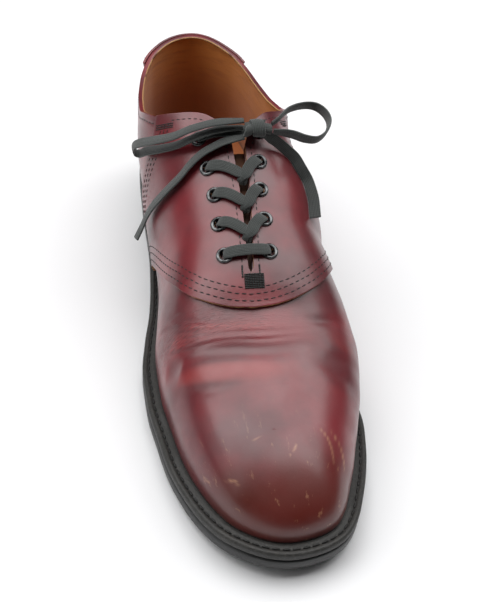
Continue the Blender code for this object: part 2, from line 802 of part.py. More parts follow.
def make_lace_rows(finish, collection):
    """The straight bar at the foot of the throat, and the crossings above it."""
    for number, station, lateral, medial in EYELET_PAIRS:
        path, normals = [], []
        for t in np.linspace(-1.0, 1.0, LACE_STEPS):
            offset = t * (medial if t > 0 else lateral)
            dip = LACE_DIPS[number] * (1 - abs(t)) ** 1.2
            point, normal = across_ridge(offset, station + dip, lace_lift())
            path.append(point)
            normals.append(normal)
        name = "lace_bar_1" if number == 1 else f"lace_crossing_{number}"
        ribbon(name, path, normals, finish, collection)


def make_lace_cords(finish, collection):
    """The bow on top of the throat: its knot, two loops and two free ends."""
    for name, route in LACE_ROUTES.items():
        curve = bpy.data.curves.new(name, "CURVE")
        curve.dimensions = "3D"
        curve.bevel_depth = KNOT_RADIUS if name == "lace_knot" else CORD_RADIUS
        curve.bevel_resolution = 2
        curve.use_fill_caps = True
        spline = curve.splines.new("POLY")
        spline.points.add(len(route) - 1)
        for point, (across, along, height) in zip(spline.points, route):
            point.co = (*placed(across, along, height), 1.0)
        curve.materials.append(finish)
        collection.objects.link(bpy.data.objects.new(name, curve))


def clear_scene():
    for obj in list(bpy.data.objects):
        bpy.data.objects.remove(obj, do_unlink=True)


def collection_named(name):
    made = bpy.data.collections.new(name)
    bpy.context.scene.collection.children.link(made)
    return made


def build():
    """Make every piece of the shoe."""
    clear_scene()
    shoe = collection_named("saddle_shoe")
    cutters = collection_named("cutters")
    leather = material("burgundy_leather", (0.11, 0.012, 0.018), 0.28)
    lining = material("tan_lining", (0.42, 0.17, 0.05), 0.6)
    rubber = material("black_rubber", (0.02, 0.02, 0.02), 0.6)
    stacked = material("stacked_heel", (0.03, 0.025, 0.022), 0.5)
    welting = material("dark_welt", (0.035, 0.032, 0.03), 0.55)
    metal = material("gunmetal", (0.25, 0.26, 0.27), 0.3, 1.0)
    cotton = material("faded_black_cotton", (0.07, 0.075, 0.07), 0.85)
    make_outsole(rubber, shoe)
    make_heel(stacked, rubber, shoe)
    make_welt(welting, shoe)
    make_insole(lining, shoe)
    cutter = make_hole_cutter(cutters)
    make_upper(leather, cutter, shoe)
    make_saddle(leather, cutter, shoe)
    make_heel_band(leather, shoe)
    make_tongue(leather, shoe)
    make_eyelets(metal, shoe)
    make_lace_rows(cotton, shoe)
    make_lace_cords(cotton, shoe)


build()
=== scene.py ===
"""Looks of a saddle shoe for the right foot: burgundy leather, black welted sole and a flat cotton lace."""

import logging
import math
from collections.abc import Callable, Iterable, Sequence
from dataclasses import dataclass, field
from enum import Enum

import bmesh
import bpy
import numpy as np
from mathutils import Matrix, Vector

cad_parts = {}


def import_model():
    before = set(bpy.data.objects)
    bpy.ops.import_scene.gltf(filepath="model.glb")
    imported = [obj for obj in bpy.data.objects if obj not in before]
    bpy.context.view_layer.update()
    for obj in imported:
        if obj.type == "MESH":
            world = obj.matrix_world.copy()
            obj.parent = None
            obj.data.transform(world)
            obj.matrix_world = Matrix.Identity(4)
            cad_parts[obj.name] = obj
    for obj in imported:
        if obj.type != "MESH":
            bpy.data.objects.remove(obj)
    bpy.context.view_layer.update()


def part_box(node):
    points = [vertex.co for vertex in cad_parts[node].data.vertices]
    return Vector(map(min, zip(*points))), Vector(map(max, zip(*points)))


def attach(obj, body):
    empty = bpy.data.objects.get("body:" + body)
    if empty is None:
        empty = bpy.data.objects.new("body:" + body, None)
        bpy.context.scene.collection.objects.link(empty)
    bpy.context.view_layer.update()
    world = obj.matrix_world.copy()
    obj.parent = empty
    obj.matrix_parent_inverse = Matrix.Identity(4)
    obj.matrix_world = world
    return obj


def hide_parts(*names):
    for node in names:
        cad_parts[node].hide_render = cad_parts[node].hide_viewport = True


log = logging.getLogger("saddle_shoe")

Color = tuple[float, float, float]
Socket = bpy.types.NodeSocket


class Side(Enum):
    """The two sides of the shoe, and which way each lies along X."""

    LATERAL = -1
    MEDIAL = 1

    @property
    def label(self) -> str:
        """The side's name in the tables and in the nodes' names."""
        return self.name.lower()


def monotone(x: np.ndarray, xs: np.ndarray, ys: np.ndarray) -> np.ndarray:
    """A smooth curve through points that keeps to the range between each two of them.

    Args:
        x: Where the curve is read.
        xs: Places of the points, rising.
        ys: Values of the points.

    Returns:
        The curve's values.
    """
    width = np.diff(xs)
    rise = np.diff(ys) / width
    slope = np.zeros(len(xs))
    slope[0], slope[-1] = rise[0], rise[-1]
    before, after = rise[:-1], rise[1:]
    turning = before * after <= 0
    safe_before = np.where(turning, 1.0, before)
    safe_after = np.where(turning, 1.0, after)
    weight_before = 2 * width[1:] + width[:-1]
    weight_after = width[1:] + 2 * width[:-1]
    mean = (weight_before + weight_after) / (weight_before / safe_before + weight_after / safe_after)
    slope[1:-1] = np.where(turning, 0.0, mean)
    i = np.clip(np.searchsorted(xs, x, side="right") - 1, 0, len(xs) - 2)
    h = width[i]
    t = np.clip((x - xs[i]) / h, 0.0, 1.0)
    return (ys[i] * (1 + 2 * t) * (1 - t) ** 2 + ys[i + 1] * t * t * (3 - 2 * t)
            + h * slope[i] * t * (1 - t) ** 2 - h * slope[i + 1] * t * t * (1 - t))


def angle_of(station: np.ndarray | float) -> np.ndarray:
    """The angle round the outline, 0 at the heel's back and pi at the toe's tip."""
    return np.arccos(np.clip(1 - 2 * np.asarray(station, float), -1.0, 1.0))


def station_of(angle: np.ndarray | float) -> np.ndarray:
    """The station at an angle round the outline."""
    return (1 - np.cos(angle)) / 2


class Table:
    """Rows of shares with named columns, read along the first column."""

    def __init__(self, columns: Sequence[str], rows: Sequence[Sequence[float]],
                 key: Callable[[np.ndarray], np.ndarray] = lambda share: share) -> None:
        """Keep the rows, with the first column turned by the key."""
        values = np.array(rows, float)
        self.key = key
        self.at = key(values[:, 0])
        self.column = {name: values[:, i] for i, name in enumerate(columns)}

    def read(self, name: str, share: np.ndarray | float) -> np.ndarray:
        """The column's value at a share of the way along."""
        return monotone(self.key(np.asarray(share, float)), self.at, self.column[name])


# The shoe's make, in metres
WALL = 0.0022
OVERLAY_GAP = 0.0006
SADDLE_THICKNESS = 0.0015
BAND_THICKNESS = 0.0014
SLIT_MARGIN = 0.0003
EYELET_TUBE_RADIUS = 0.0028
EYELET_BORE_RADIUS = 0.0023
EYELET_FLANGE_RADIUS = 0.0040
EYELET_FLANGE_HEIGHT = 0.0008
LACE_WIDTH = 0.0056
LACE_THICKNESS = 0.0012
LACE_GAP = 0.0005
WELT_GRIP = 0.0055
LIFT_THICKNESS = 0.006
HEEL_TAPER = 0.0014
HEEL_BREAST = 0.215

# Station above which the slit keeps its width
SLIT_HEAD = 0.40

# Outline of the sole: half widths as shares of the sole's width, and the welt's ledge as a share of its own
PLAN = Table(
    ("station", "lateral", "medial", "ledge"),
    (
        (0.000, 0.000, 0.000, 0.50),
        (0.033, 0.210, 0.197, 0.45),
        (0.066, 0.278, 0.271, 0.45),
        (0.131, 0.330, 0.328, 0.45),
        (0.196, 0.345, 0.338, 0.45),
        (0.280, 0.350, 0.328, 0.45),
        (0.360, 0.345, 0.325, 0.50),
        (0.440, 0.360, 0.355, 0.65),
        (0.510, 0.386, 0.415, 0.85),
        (0.575, 0.428, 0.472, 1.00),
        (0.640, 0.456, 0.512, 1.00),
        (0.700, 0.453, 0.532, 1.00),
        (0.765, 0.428, 0.530, 1.00),
        (0.820, 0.402, 0.503, 1.00),
        (0.870, 0.360, 0.460, 1.00),
        (0.915, 0.304, 0.406, 1.00),
        (0.950, 0.236, 0.354, 0.95),
        (0.980, 0.130, 0.274, 0.90),
        (1.000, -0.060, 0.060, 0.90),
    ),
    key=angle_of,
)

# Underside of the sole: how much of the heel's height and of the toe spring it has
UNDERSIDE = Table(
    ("station", "heel", "toe"),
    (
        (0.00, 1.00, 0.00),
        (0.10, 0.99, 0.00),
        (0.20, 0.94, 0.00),
        (0.30, 0.75, 0.00),
        (0.38, 0.50, 0.00),
        (0.46, 0.26, 0.00),
        (0.54, 0.08, 0.00),
        (0.62, 0.00, 0.00),
        (0.74, 0.00, 0.00),
        (0.82, 0.00, 0.12),
        (0.90, 0.00, 0.42),
        (1.00, 0.00, 1.00),
    ),
)

# Cross sections of the last: the ridge's height above the feather edge as a share of the instep height, its
# place across as a share of the sole's width, how far each side bellies out past the feather edge as a share
# of the sole's width, and how square each side is
SECTIONS = Table(
    ("station", "ridge", "across", "lateral_belly", "medial_belly", "lateral_square", "medial_square"),
    (
        (0.00, 1.29, -0.012, 0.020, 0.020, 3.6, 3.6),
        (0.10, 1.27, -0.008, 0.032, 0.022, 3.6, 3.5),
        (0.20, 1.24, 0.010, 0.060, 0.070, 3.3, 3.3),
        (0.28, 1.18, 0.030, 0.080, 0.155, 3.0, 3.0),
        (0.344, 1.11, 0.050, 0.080, 0.145, 2.5, 2.5),
        (0.40, 1.05, 0.062, 0.065, 0.178, 2.3, 2.6),
        (0.458, 0.986, 0.062, 0.050, 0.190, 2.2, 2.5),
        (0.524, 0.910, 0.055, 0.030, 0.130, 2.2, 2.5),
        (0.602, 0.812, 0.036, 0.020, 0.130, 2.2, 2.5),
        (0.638, 0.740, 0.028, 0.018, 0.125, 2.2, 2.5),
        (0.674, 0.655, 0.023, 0.016, 0.120, 2.3, 2.5),
        (0.720, 0.586, 0.020, 0.010, 0.095, 2.4, 2.6),
        (0.769, 0.528, 0.018, 0.010, 0.060, 2.4, 2.5),
        (0.818, 0.476, 0.018, 0.010, 0.030, 2.4, 2.4),
        (0.858, 0.430, 0.020, 0.008, 0.010, 2.4, 2.4),
        (1.000, 0.270, 0.035, 0.004, 0.004, 2.3, 2.3),
    ),
)

# Top edge of the upper behind the slit, as girth shares
TOPLINE = Table(
    ("station", "lateral", "medial"),
    (
        (0.00, 0.470, 0.470),
        (0.08, 0.450, 0.450),
        (0.16, 0.440, 0.445),
        (0.24, 0.480, 0.475),
        (0.28, 0.550, 0.555),
        (0.31, 0.620, 0.650),
        (0.335, 0.730, 0.745),
        (0.362, 0.880, 0.860),
        (0.390, 0.953, 0.937),
        (0.415, 0.990, 0.965),
        (0.440, 1.000, 1.000),
    ),
)

# Edges of the saddle, as stations at shares of the way from the feather edge to the top
SADDLE_EDGES = Table(
    ("up", "rear", "front"),
    (
        (0.00, 0.365, 0.430),
        (0.15, 0.362, 0.460),
        (0.34, 0.357, 0.526),
        (0.51, 0.351, 0.588),
        (0.66, 0.346, 0.638),
        (0.80, 0.341, 0.661),
        (0.90, 0.331, 0.669),
        (1.00, 0.316, 0.672),
    ),
)

# Edge of the heel band, as stations at shares of the way from the feather edge to the top
BAND_EDGE = Table(
    ("up", "edge"),
    (
        (0.00, 0.060),
        (0.45, 0.052),
        (0.80, 0.066),
        (1.00, 0.082),
    ),
)

# Eyelets: station of each pair, and how far each eyelet is from the slit's middle, in metres
EYELET_PAIRS = (
    (1, 0.594, 0.0112, 0.0090),
    (2, 0.541, 0.0130, 0.0078),
    (3, 0.492, 0.0138, 0.0072),
    (4, 0.446, 0.0156, 0.0085),
    (5, 0.395, 0.0180, 0.0108),
)

# How far towards the toe each crossing dips between its eyelets, as a station
LACE_DIPS = {1: 0.0, 2: 0.024, 3: 0.024, 4: 0.024, 5: 0.006}

# The bow's knot, loops and free ends: points across from the heel's middle line, along from the heel's back
# and above the floor, in metres
LACE_ROUTES: dict[str, tuple[tuple[float, float, float], ...]] = {
    "lace_knot": (
        (0.0090, 0.1275, 0.1043), (0.0130, 0.1277, 0.1046), (0.0175, 0.1277, 0.1040),
        (0.0217, 0.1275, 0.1030),
    ),
    "lace_loop_lateral": (
        (0.0084, 0.1258, 0.1072), (-0.0048, 0.1256, 0.1065), (-0.0160, 0.1245, 0.1028),
        (-0.0248, 0.1214, 0.0967), (-0.0330, 0.1148, 0.0904), (-0.0395, 0.1070, 0.0838),
        (-0.0420, 0.1030, 0.0792), (-0.0417, 0.1012, 0.0752), (-0.0390, 0.1032, 0.0753),
        (-0.0357, 0.1082, 0.0798), (-0.0298, 0.1154, 0.0857), (-0.0226, 0.1213, 0.0916),
        (-0.0142, 0.1252, 0.0985), (-0.0040, 0.1253, 0.1021), (0.0084, 0.1253, 0.1031),
    ),
    "lace_loop_medial": (
        (0.0226, 0.1250, 0.1044), (0.0258, 0.1228, 0.1052), (0.0325, 0.1155, 0.1058),
        (0.0410, 0.1105, 0.1050), (0.0475, 0.1105, 0.1043), (0.0512, 0.1160, 0.1038),
        (0.0515, 0.1240, 0.1035), (0.0480, 0.1320, 0.1030), (0.0425, 0.1368, 0.1025),
        (0.0370, 0.1358, 0.1025), (0.0310, 0.1315, 0.1025), (0.0226, 0.1292, 0.1029),
    ),
    "lace_end_lateral": (
        (0.0084, 0.1303, 0.1010), (-0.0004, 0.1303, 0.0991), (-0.0070, 0.1309, 0.0962),
        (-0.0122, 0.1318, 0.0933), (-0.0178, 0.1336, 0.0886), (-0.0227, 0.1354, 0.0830),
        (-0.0282, 0.1353, 0.0762), (-0.0325, 0.1339, 0.0693), (-0.0358, 0.1316, 0.0624),
        (-0.0382, 0.1294, 0.0552), (-0.0404, 0.1290, 0.0482), (-0.0436, 0.1315, 0.0426),
    ),
    "lace_end_medial": (
        (0.0226, 0.1294, 0.0988), (0.0256, 0.1297, 0.0966), (0.0290, 0.1302, 0.0936),
        (0.0342, 0.1317, 0.0889), (0.0373, 0.1350, 0.0846), (0.0402, 0.1385, 0.0803),
        (0.0412, 0.1440, 0.0777), (0.0416, 0.1485, 0.0755), (0.0413, 0.1530, 0.0735),
        (0.0409, 0.1575, 0.0716),
    ),
}


@dataclass
class Last:
    """The form that the shoe is built on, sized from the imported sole.

    A place on it is a side, a station from the heel's back to the toe's tip, and a girth share from the
    feather edge above the welt to the ridge of the instep.
    """

    length: float
    sole_width: float
    instep_height: float = 0.072
    heel_height: float = 0.0195
    toe_spring: float = 0.006
    sole_thickness: float = 0.007
    welt_thickness: float = 0.0045
    welt_ledge: float = 0.0066
    seat_gap: float = 0.0003
    feather_gap: float = 0.0004
    heel_pole: float = 0.15
    toe_pole: float = 0.858
    slit_foot: float = 0.625
    slit_last_open: float = 0.617
    slit_top_gap: float = 0.0058
    slit_foot_gap: float = 0.0012
    girth_samples: int = 48
    station_samples: int = 500
    slope_step: float = 0.002
    turns: np.ndarray = field(init=False)
    girth_rows: dict[Side, np.ndarray] = field(init=False)

    def __post_init__(self) -> None:
        """Measure the girths once, as rows that later reads are taken from."""
        self.turns = np.linspace(0.0, math.pi / 2, self.girth_samples)
        stations = np.linspace(0.0, 1.0, self.station_samples)[:, None]
        self.girth_rows = {}
        for side in Side:
            points = self.raw_point(side, stations + 0 * self.turns, self.turns + 0 * stations)
            steps = np.linalg.norm(np.diff(points, axis=-2), axis=-1)
            self.girth_rows[side] = np.concatenate([0 * stations, np.cumsum(steps, axis=-1)], axis=-1)

    @property
    def across_middle(self) -> float:
        """Distance from the heel's middle line to the middle of the sole's width."""
        return self.sole_width * (PLAN.column["medial"].max() - PLAN.column["lateral"].max()) / 2

    def placed(self, across: np.ndarray, along: np.ndarray, height: np.ndarray) -> np.ndarray:
        """World coordinates of a place across from the heel's middle, along from its back and high."""
        parts = np.broadcast_arrays(across - self.across_middle, self.length / 2 - along, height)
        return np.stack(parts, axis=-1)

    def sole_point(self, side: Side, angle: np.ndarray) -> np.ndarray:
        """The sole's outline as (across, along)."""
        share = PLAN.read(side.label, station_of(angle))
        return np.stack([side.value * self.sole_width * share, self.length * station_of(angle)], axis=-1)

    def inset_outline(self, side: Side, angle: np.ndarray, inset: np.ndarray | float) -> np.ndarray:
        """The sole's outline moved inwards, square to itself."""
        angle = np.asarray(angle, float)
        ahead = self.sole_point(side, np.minimum(angle + self.slope_step, math.pi))
        behind = self.sole_point(side, np.maximum(angle - self.slope_step, 0.0))
        along = ahead - behind
        along /= np.linalg.norm(along, axis=-1, keepdims=True)
        outward = side.value * np.stack([along[..., 1], -along[..., 0]], axis=-1)
        outward = np.where((angle < self.slope_step)[..., None], np.array([0.0, -1.0]), outward)
        outward = np.where((angle > math.pi - self.slope_step)[..., None], np.array([0.0, 1.0]), outward)
        return self.sole_point(side, angle) - outward * np.asarray(inset)[..., None]

    def ledge(self, angle: np.ndarray) -> np.ndarray:
        """How far the welt stands out past the upper."""
        return self.welt_ledge * PLAN.read("ledge", station_of(angle))

    def underside(self, along: np.ndarray) -> np.ndarray:
        """Height of the sole's underside at a length from the heel's back."""
        share = np.clip(np.asarray(along) / self.length, 0.0, 1.0)
        heel, toe = UNDERSIDE.read("heel", share), UNDERSIDE.read("toe", share)
        return self.heel_height * heel + self.toe_spring * toe

    def welt_foot(self, along: np.ndarray) -> np.ndarray:
        """Height of the welt's lower face."""
        return self.underside(along) + self.sole_thickness + self.seat_gap

    def welt_top(self, along: np.ndarray) -> np.ndarray:
        """Height of the welt's upper face."""
        return self.welt_foot(along) + self.welt_thickness

    def ridge_height(self, station: np.ndarray) -> np.ndarray:
        """Height of the instep's ridge."""
        feather = self.welt_top(self.length * station) + self.feather_gap
        return feather + self.instep_height * SECTIONS.read("ridge", station)

    def raw_point(self, side: Side, station: np.ndarray, turn: np.ndarray) -> np.ndarray:
        """A point of a section, where turn runs from 0 at the feather edge to a quarter turn at the ridge."""
        foot = self.inset_outline(side, angle_of(station), self.ledge(angle_of(station)))
        base = self.welt_top(foot[..., 1]) + self.feather_gap
        pole = np.clip(station, self.heel_pole, self.toe_pole)
        top = np.stack([self.sole_width * SECTIONS.read("across", pole), self.length * pole], axis=-1)
        square = 2 / SECTIONS.read(f"{side.label}_square", station)
        inward = np.clip(np.cos(turn), 0.0, 1.0) ** square
        rise = np.clip(np.sin(turn), 0.0, 1.0) ** square
        outward = foot - top
        outward = outward / np.linalg.norm(outward, axis=-1, keepdims=True)
        swell = SECTIONS.read(f"{side.label}_belly", station)
        belly = self.sole_width * swell * (1 - (1 - rise) ** 3) * inward
        plan = top + (foot - top) * inward[..., None] + outward * belly[..., None]
        step = self.slope_step
        slope = (self.ridge_height(pole + step) - self.ridge_height(pole - step)) / (2 * step * self.length)
        crown = self.ridge_height(pole) + slope * (plan[..., 1] - top[..., 1])
        return self.placed(plan[..., 0], plan[..., 1], base + (crown - base) * rise)

    def girth(self, side: Side, station: np.ndarray | float) -> np.ndarray:
        """The length from the feather edge to the ridge."""
        stations = np.linspace(0.0, 1.0, self.station_samples)
        return np.interp(station, stations, self.girth_rows[side][:, -1])

    def surface(self, side: Side, station: np.ndarray, share: np.ndarray) -> np.ndarray:
        """A point of the last by its side, station and girth share."""
        station, share = np.broadcast_arrays(np.asarray(station, float), np.asarray(share, float))
        flat, wanted = station.reshape(-1), share.reshape(-1)
        spot = np.clip(flat, 0.0, 1.0) * (self.station_samples - 1)
        low = np.minimum(spot.astype(int), self.station_samples - 2)
        part = (spot - low)[:, None]
        rows = self.girth_rows[side]
        lengths = rows[low] * (1 - part) + rows[low + 1] * part
        target = wanted * lengths[:, -1]
        at = np.clip((lengths <= target[:, None]).sum(axis=1) - 1, 0, self.girth_samples - 2)
        n = np.arange(len(at))
        here, there = lengths[n, at], lengths[n, at + 1]
        turn = self.turns[at] + (self.turns[at + 1] - self.turns[at]) * (target - here) / (there - here)
        turn = np.clip(turn, 0.0, math.pi / 2)
        return self.raw_point(side, flat, turn).reshape(station.shape + (3,))

    def normal(self, side: Side, station: np.ndarray, share: np.ndarray) -> np.ndarray:
        """The last's outward normal."""
        station, share = np.broadcast_arrays(np.asarray(station, float), np.asarray(share, float))
        step = self.slope_step
        low = np.clip(share, 0.01, 0.985)
        middle = np.clip(station, step, 1 - step)
        along = self.surface(side, middle + step, low) - self.surface(side, middle - step, low)
        up = self.surface(side, station, low + 0.01) - self.surface(side, station, low - 0.01)
        ends = (station < step) | (station > 1 - step)
        across = np.broadcast_to(np.array([1.0, 0.0, 0.0]), along.shape)
        turned = np.where((station > 0.5)[..., None], -side.value * across, side.value * across)
        along = np.where(ends[..., None], turned, along)
        normal = side.value * np.cross(up, along)
        flat = normal.copy()
        flat[..., 0] = 0.0
        normal = np.where((share > 0.999)[..., None], flat, normal)
        return normal / np.linalg.norm(normal, axis=-1, keepdims=True)

    def point(self, side: Side, station: np.ndarray, share: np.ndarray,
              lift: np.ndarray | float = 0.0) -> np.ndarray:
        """A point of the last, lifted off it along its normal."""
        lift = np.asarray(lift, float)
        return self.surface(side, station, share) + lift[..., None] * self.normal(side, station, share)

    def slit_gap(self, station: np.ndarray) -> np.ndarray:
        """Width of the slit between the facings."""
        down = np.clip((station - SLIT_HEAD) / (self.slit_foot - SLIT_HEAD), 0.0, 1.0)
        return self.slit_top_gap + (self.slit_foot_gap - self.slit_top_gap) * down

    def top_share(self, side: Side, station: np.ndarray, margin: float = 0.0) -> np.ndarray:
        """Girth share of the upper's top edge: the collar, then the slit, then the closed ridge."""
        station = np.asarray(station, float)
        slit = 1 - (self.slit_gap(station) / 2 + margin) / self.girth(side, station)
        topline = TOPLINE.read(side.label, np.minimum(station, TOPLINE.at[-1]))
        return np.where(station > self.slit_last_open + self.slope_step, 1.0, np.minimum(slit, topline))

    def across_ridge(self, offset: np.ndarray, station: np.ndarray,
                     lift: np.ndarray | float = 0.0) -> tuple[np.ndarray, np.ndarray]:
        """Points by their distance across from the ridge.

        Args:
            offset: Distances across, medial positive.
            station: Stations.
            lift: Heights above the last.

        Returns:
            The points, and the last's outward normals there.
        """
        offset, station, lift = np.broadcast_arrays(
            np.asarray(offset, float), np.asarray(station, float), np.asarray(lift, float))
        points, normals = np.zeros(offset.shape + (3,)), np.zeros(offset.shape + (3,))
        for side in Side:
            mine = (offset >= 0) == (side is Side.MEDIAL)
            share = np.clip(1 - np.abs(offset[mine]) / self.girth(side, station[mine]), 0.0, 1.0)
            normals[mine] = self.normal(side, station[mine], share)
            points[mine] = self.surface(side, station[mine], share) + lift[mine][..., None] * normals[mine]
        return points, normals


@dataclass(frozen=True)
class Fold:
    """A soft trough in the leather, or with a negative depth a soft roll.

    Its path is by distance across from the ridge, in metres, and station.
    """

    path: tuple[tuple[float, float], ...]
    depth: float
    width: float


FOLDS: tuple[Fold, ...] = (
    Fold(((-0.052, 0.690), (-0.036, 0.709), (-0.016, 0.727), (0.004, 0.735), (0.022, 0.731), (0.034, 0.722)),
         0.00095, 0.0042),
    Fold(((-0.054, 0.735), (-0.030, 0.752), (-0.004, 0.762), (0.024, 0.756)), -0.0004, 0.0090),
    Fold(((-0.056, 0.660), (-0.036, 0.682), (-0.012, 0.698), (0.016, 0.698)), -0.0003, 0.0060),
    Fold(((-0.058, 0.735), (-0.038, 0.764), (-0.021, 0.783), (-0.006, 0.785)), 0.00050, 0.0030),
    Fold(((-0.050, 0.706), (-0.043, 0.720), (-0.038, 0.731)), 0.0010, 0.0050),
    Fold(((0.022, 0.738), (0.038, 0.762), (0.052, 0.781)), 0.00080, 0.0055),
    Fold(((-0.060, 0.636), (-0.040, 0.674), (-0.018, 0.700), (0.010, 0.708), (0.028, 0.700)),
         0.00028, 0.0013),
    Fold(((-0.064, 0.618), (-0.044, 0.656), (-0.024, 0.688), (-0.006, 0.699)), 0.00030, 0.0010),
    Fold(((-0.058, 0.608), (-0.040, 0.644), (-0.024, 0.674), (-0.010, 0.688)), 0.00026, 0.0009),
    Fold(((-0.062, 0.626), (-0.048, 0.644), (-0.036, 0.662), (-0.026, 0.672)), 0.00028, 0.0009),
    Fold(((-0.052, 0.618), (-0.038, 0.642), (-0.026, 0.664)), 0.00026, 0.0008),
    Fold(((-0.062, 0.656), (-0.044, 0.688), (-0.030, 0.706), (-0.012, 0.714)), 0.00030, 0.0009),
    Fold(((-0.054, 0.662), (-0.040, 0.684), (-0.028, 0.698)), 0.00026, 0.0008),
    Fold(((-0.020, 0.710), (0.002, 0.718), (0.024, 0.714)), 0.00020, 0.0010),
    Fold(((0.020, 0.690), (0.034, 0.684), (0.048, 0.668)), 0.00045, 0.0026),
    Fold(((0.030, 0.738), (0.044, 0.742), (0.056, 0.736)), 0.00045, 0.0032),
)


def smooth_path(points: Sequence[Sequence[float]], step: float) -> np.ndarray:
    """A smooth curve through given points, evened out to steps of one length.

    Args:
        points: The points.
        step: About how far apart the curve's points are.

    Returns:
        The curve's points.
    """
    p = np.asarray(points, float)
    ends = np.vstack([2 * p[0] - p[1], p, 2 * p[-1] - p[-2]])
    t = np.linspace(0.0, 1.0, 24, endpoint=False)[:, None]
    pieces = []
    for a, b, c, d in zip(ends[:-3], ends[1:-2], ends[2:-1], ends[3:]):
        pieces.append(0.5 * (2 * b + (c - a) * t + (2 * a - 5 * b + 4 * c - d) * t ** 2
                             + (3 * b - 3 * c + d - a) * t ** 3))
    dense = np.vstack(pieces + [p[-1:]])
    run = np.concatenate([[0.0], np.cumsum(np.linalg.norm(np.diff(dense, axis=0), axis=1))])
    count = max(int(round(run[-1] / step)), 2) + 1
    even = np.linspace(0.0, run[-1], count)
    return np.stack([np.interp(even, run, dense[:, k]) for k in range(dense.shape[1])], axis=1)


def distance_to(points: np.ndarray, line: np.ndarray) -> tuple[np.ndarray, np.ndarray]:
    """Distances from points to a line.

    Args:
        points: Points, one in a row.
        line: The line's points.

    Returns:
        The distances, and how far along the line the nearest place is, from 0 to 1.
    """
    best = np.full(len(points), np.inf)
    where = np.zeros(len(points))
    for i, (a, b) in enumerate(zip(line[:-1], line[1:])):
        span = b - a
        t = np.clip(((points - a) @ span) / (span @ span), 0.0, 1.0)
        gap = np.linalg.norm(points - a - t[:, None] * span, axis=1)
        closer = gap < best
        best[closer] = gap[closer]
        where[closer] = (i + t[closer]) / (len(line) - 1)
    return best, where


SCRATCHES: tuple[tuple[tuple[float, float], ...], ...] = (
    ((0.011, 0.948), (0.012, 0.985)),
    ((0.020, 0.862), (0.024, 0.885), (0.029, 0.925)),
    ((0.029, 0.878), (0.034, 0.905), (0.036, 0.918)),
    ((0.026, 0.868), (0.029, 0.880)),
    ((-0.010, 0.902), (-0.006, 0.903)),
    ((-0.030, 0.925), (-0.027, 0.935), (-0.028, 0.945)),
)


class Creases:
    """Where the leather has folded in wear."""

    path_step = 0.002

    def __init__(self, last: Last) -> None:
        """Lay each fold's path out flat, across and along."""
        self.last = last
        self.lines = [(smooth_path([(x, s * last.length) for x, s in fold.path], self.path_step), fold)
                      for fold in FOLDS]

    def lift(self, side: Side, station: np.ndarray, share: np.ndarray) -> np.ndarray:
        """How far the folds move the leather out, negative in a trough."""
        station, share = np.broadcast_arrays(station, share)
        across = side.value * (1 - share) * self.last.girth(side, station)
        flat = np.stack([across.reshape(-1), station.reshape(-1) * self.last.length], axis=1)
        total = np.zeros(len(flat))
        for line, fold in self.lines:
            reach = 4 * fold.width
            near = np.all((flat > line.min(axis=0) - reach) & (flat < line.max(axis=0) + reach), axis=1)
            if not near.any():
                continue
            gap, where = distance_to(flat[near], line)
            fade = np.clip(np.sin(np.pi * where), 0.0, 1.0) 
            trough = np.exp(-(gap / fold.width) ** 2)
            shoulder = 0.22 * np.exp(-((gap - 2.2 * fold.width) / (1.3 * fold.width)) ** 2)
            total[near] += fold.depth * fade * (shoulder - trough)
        return total.reshape(station.shape)


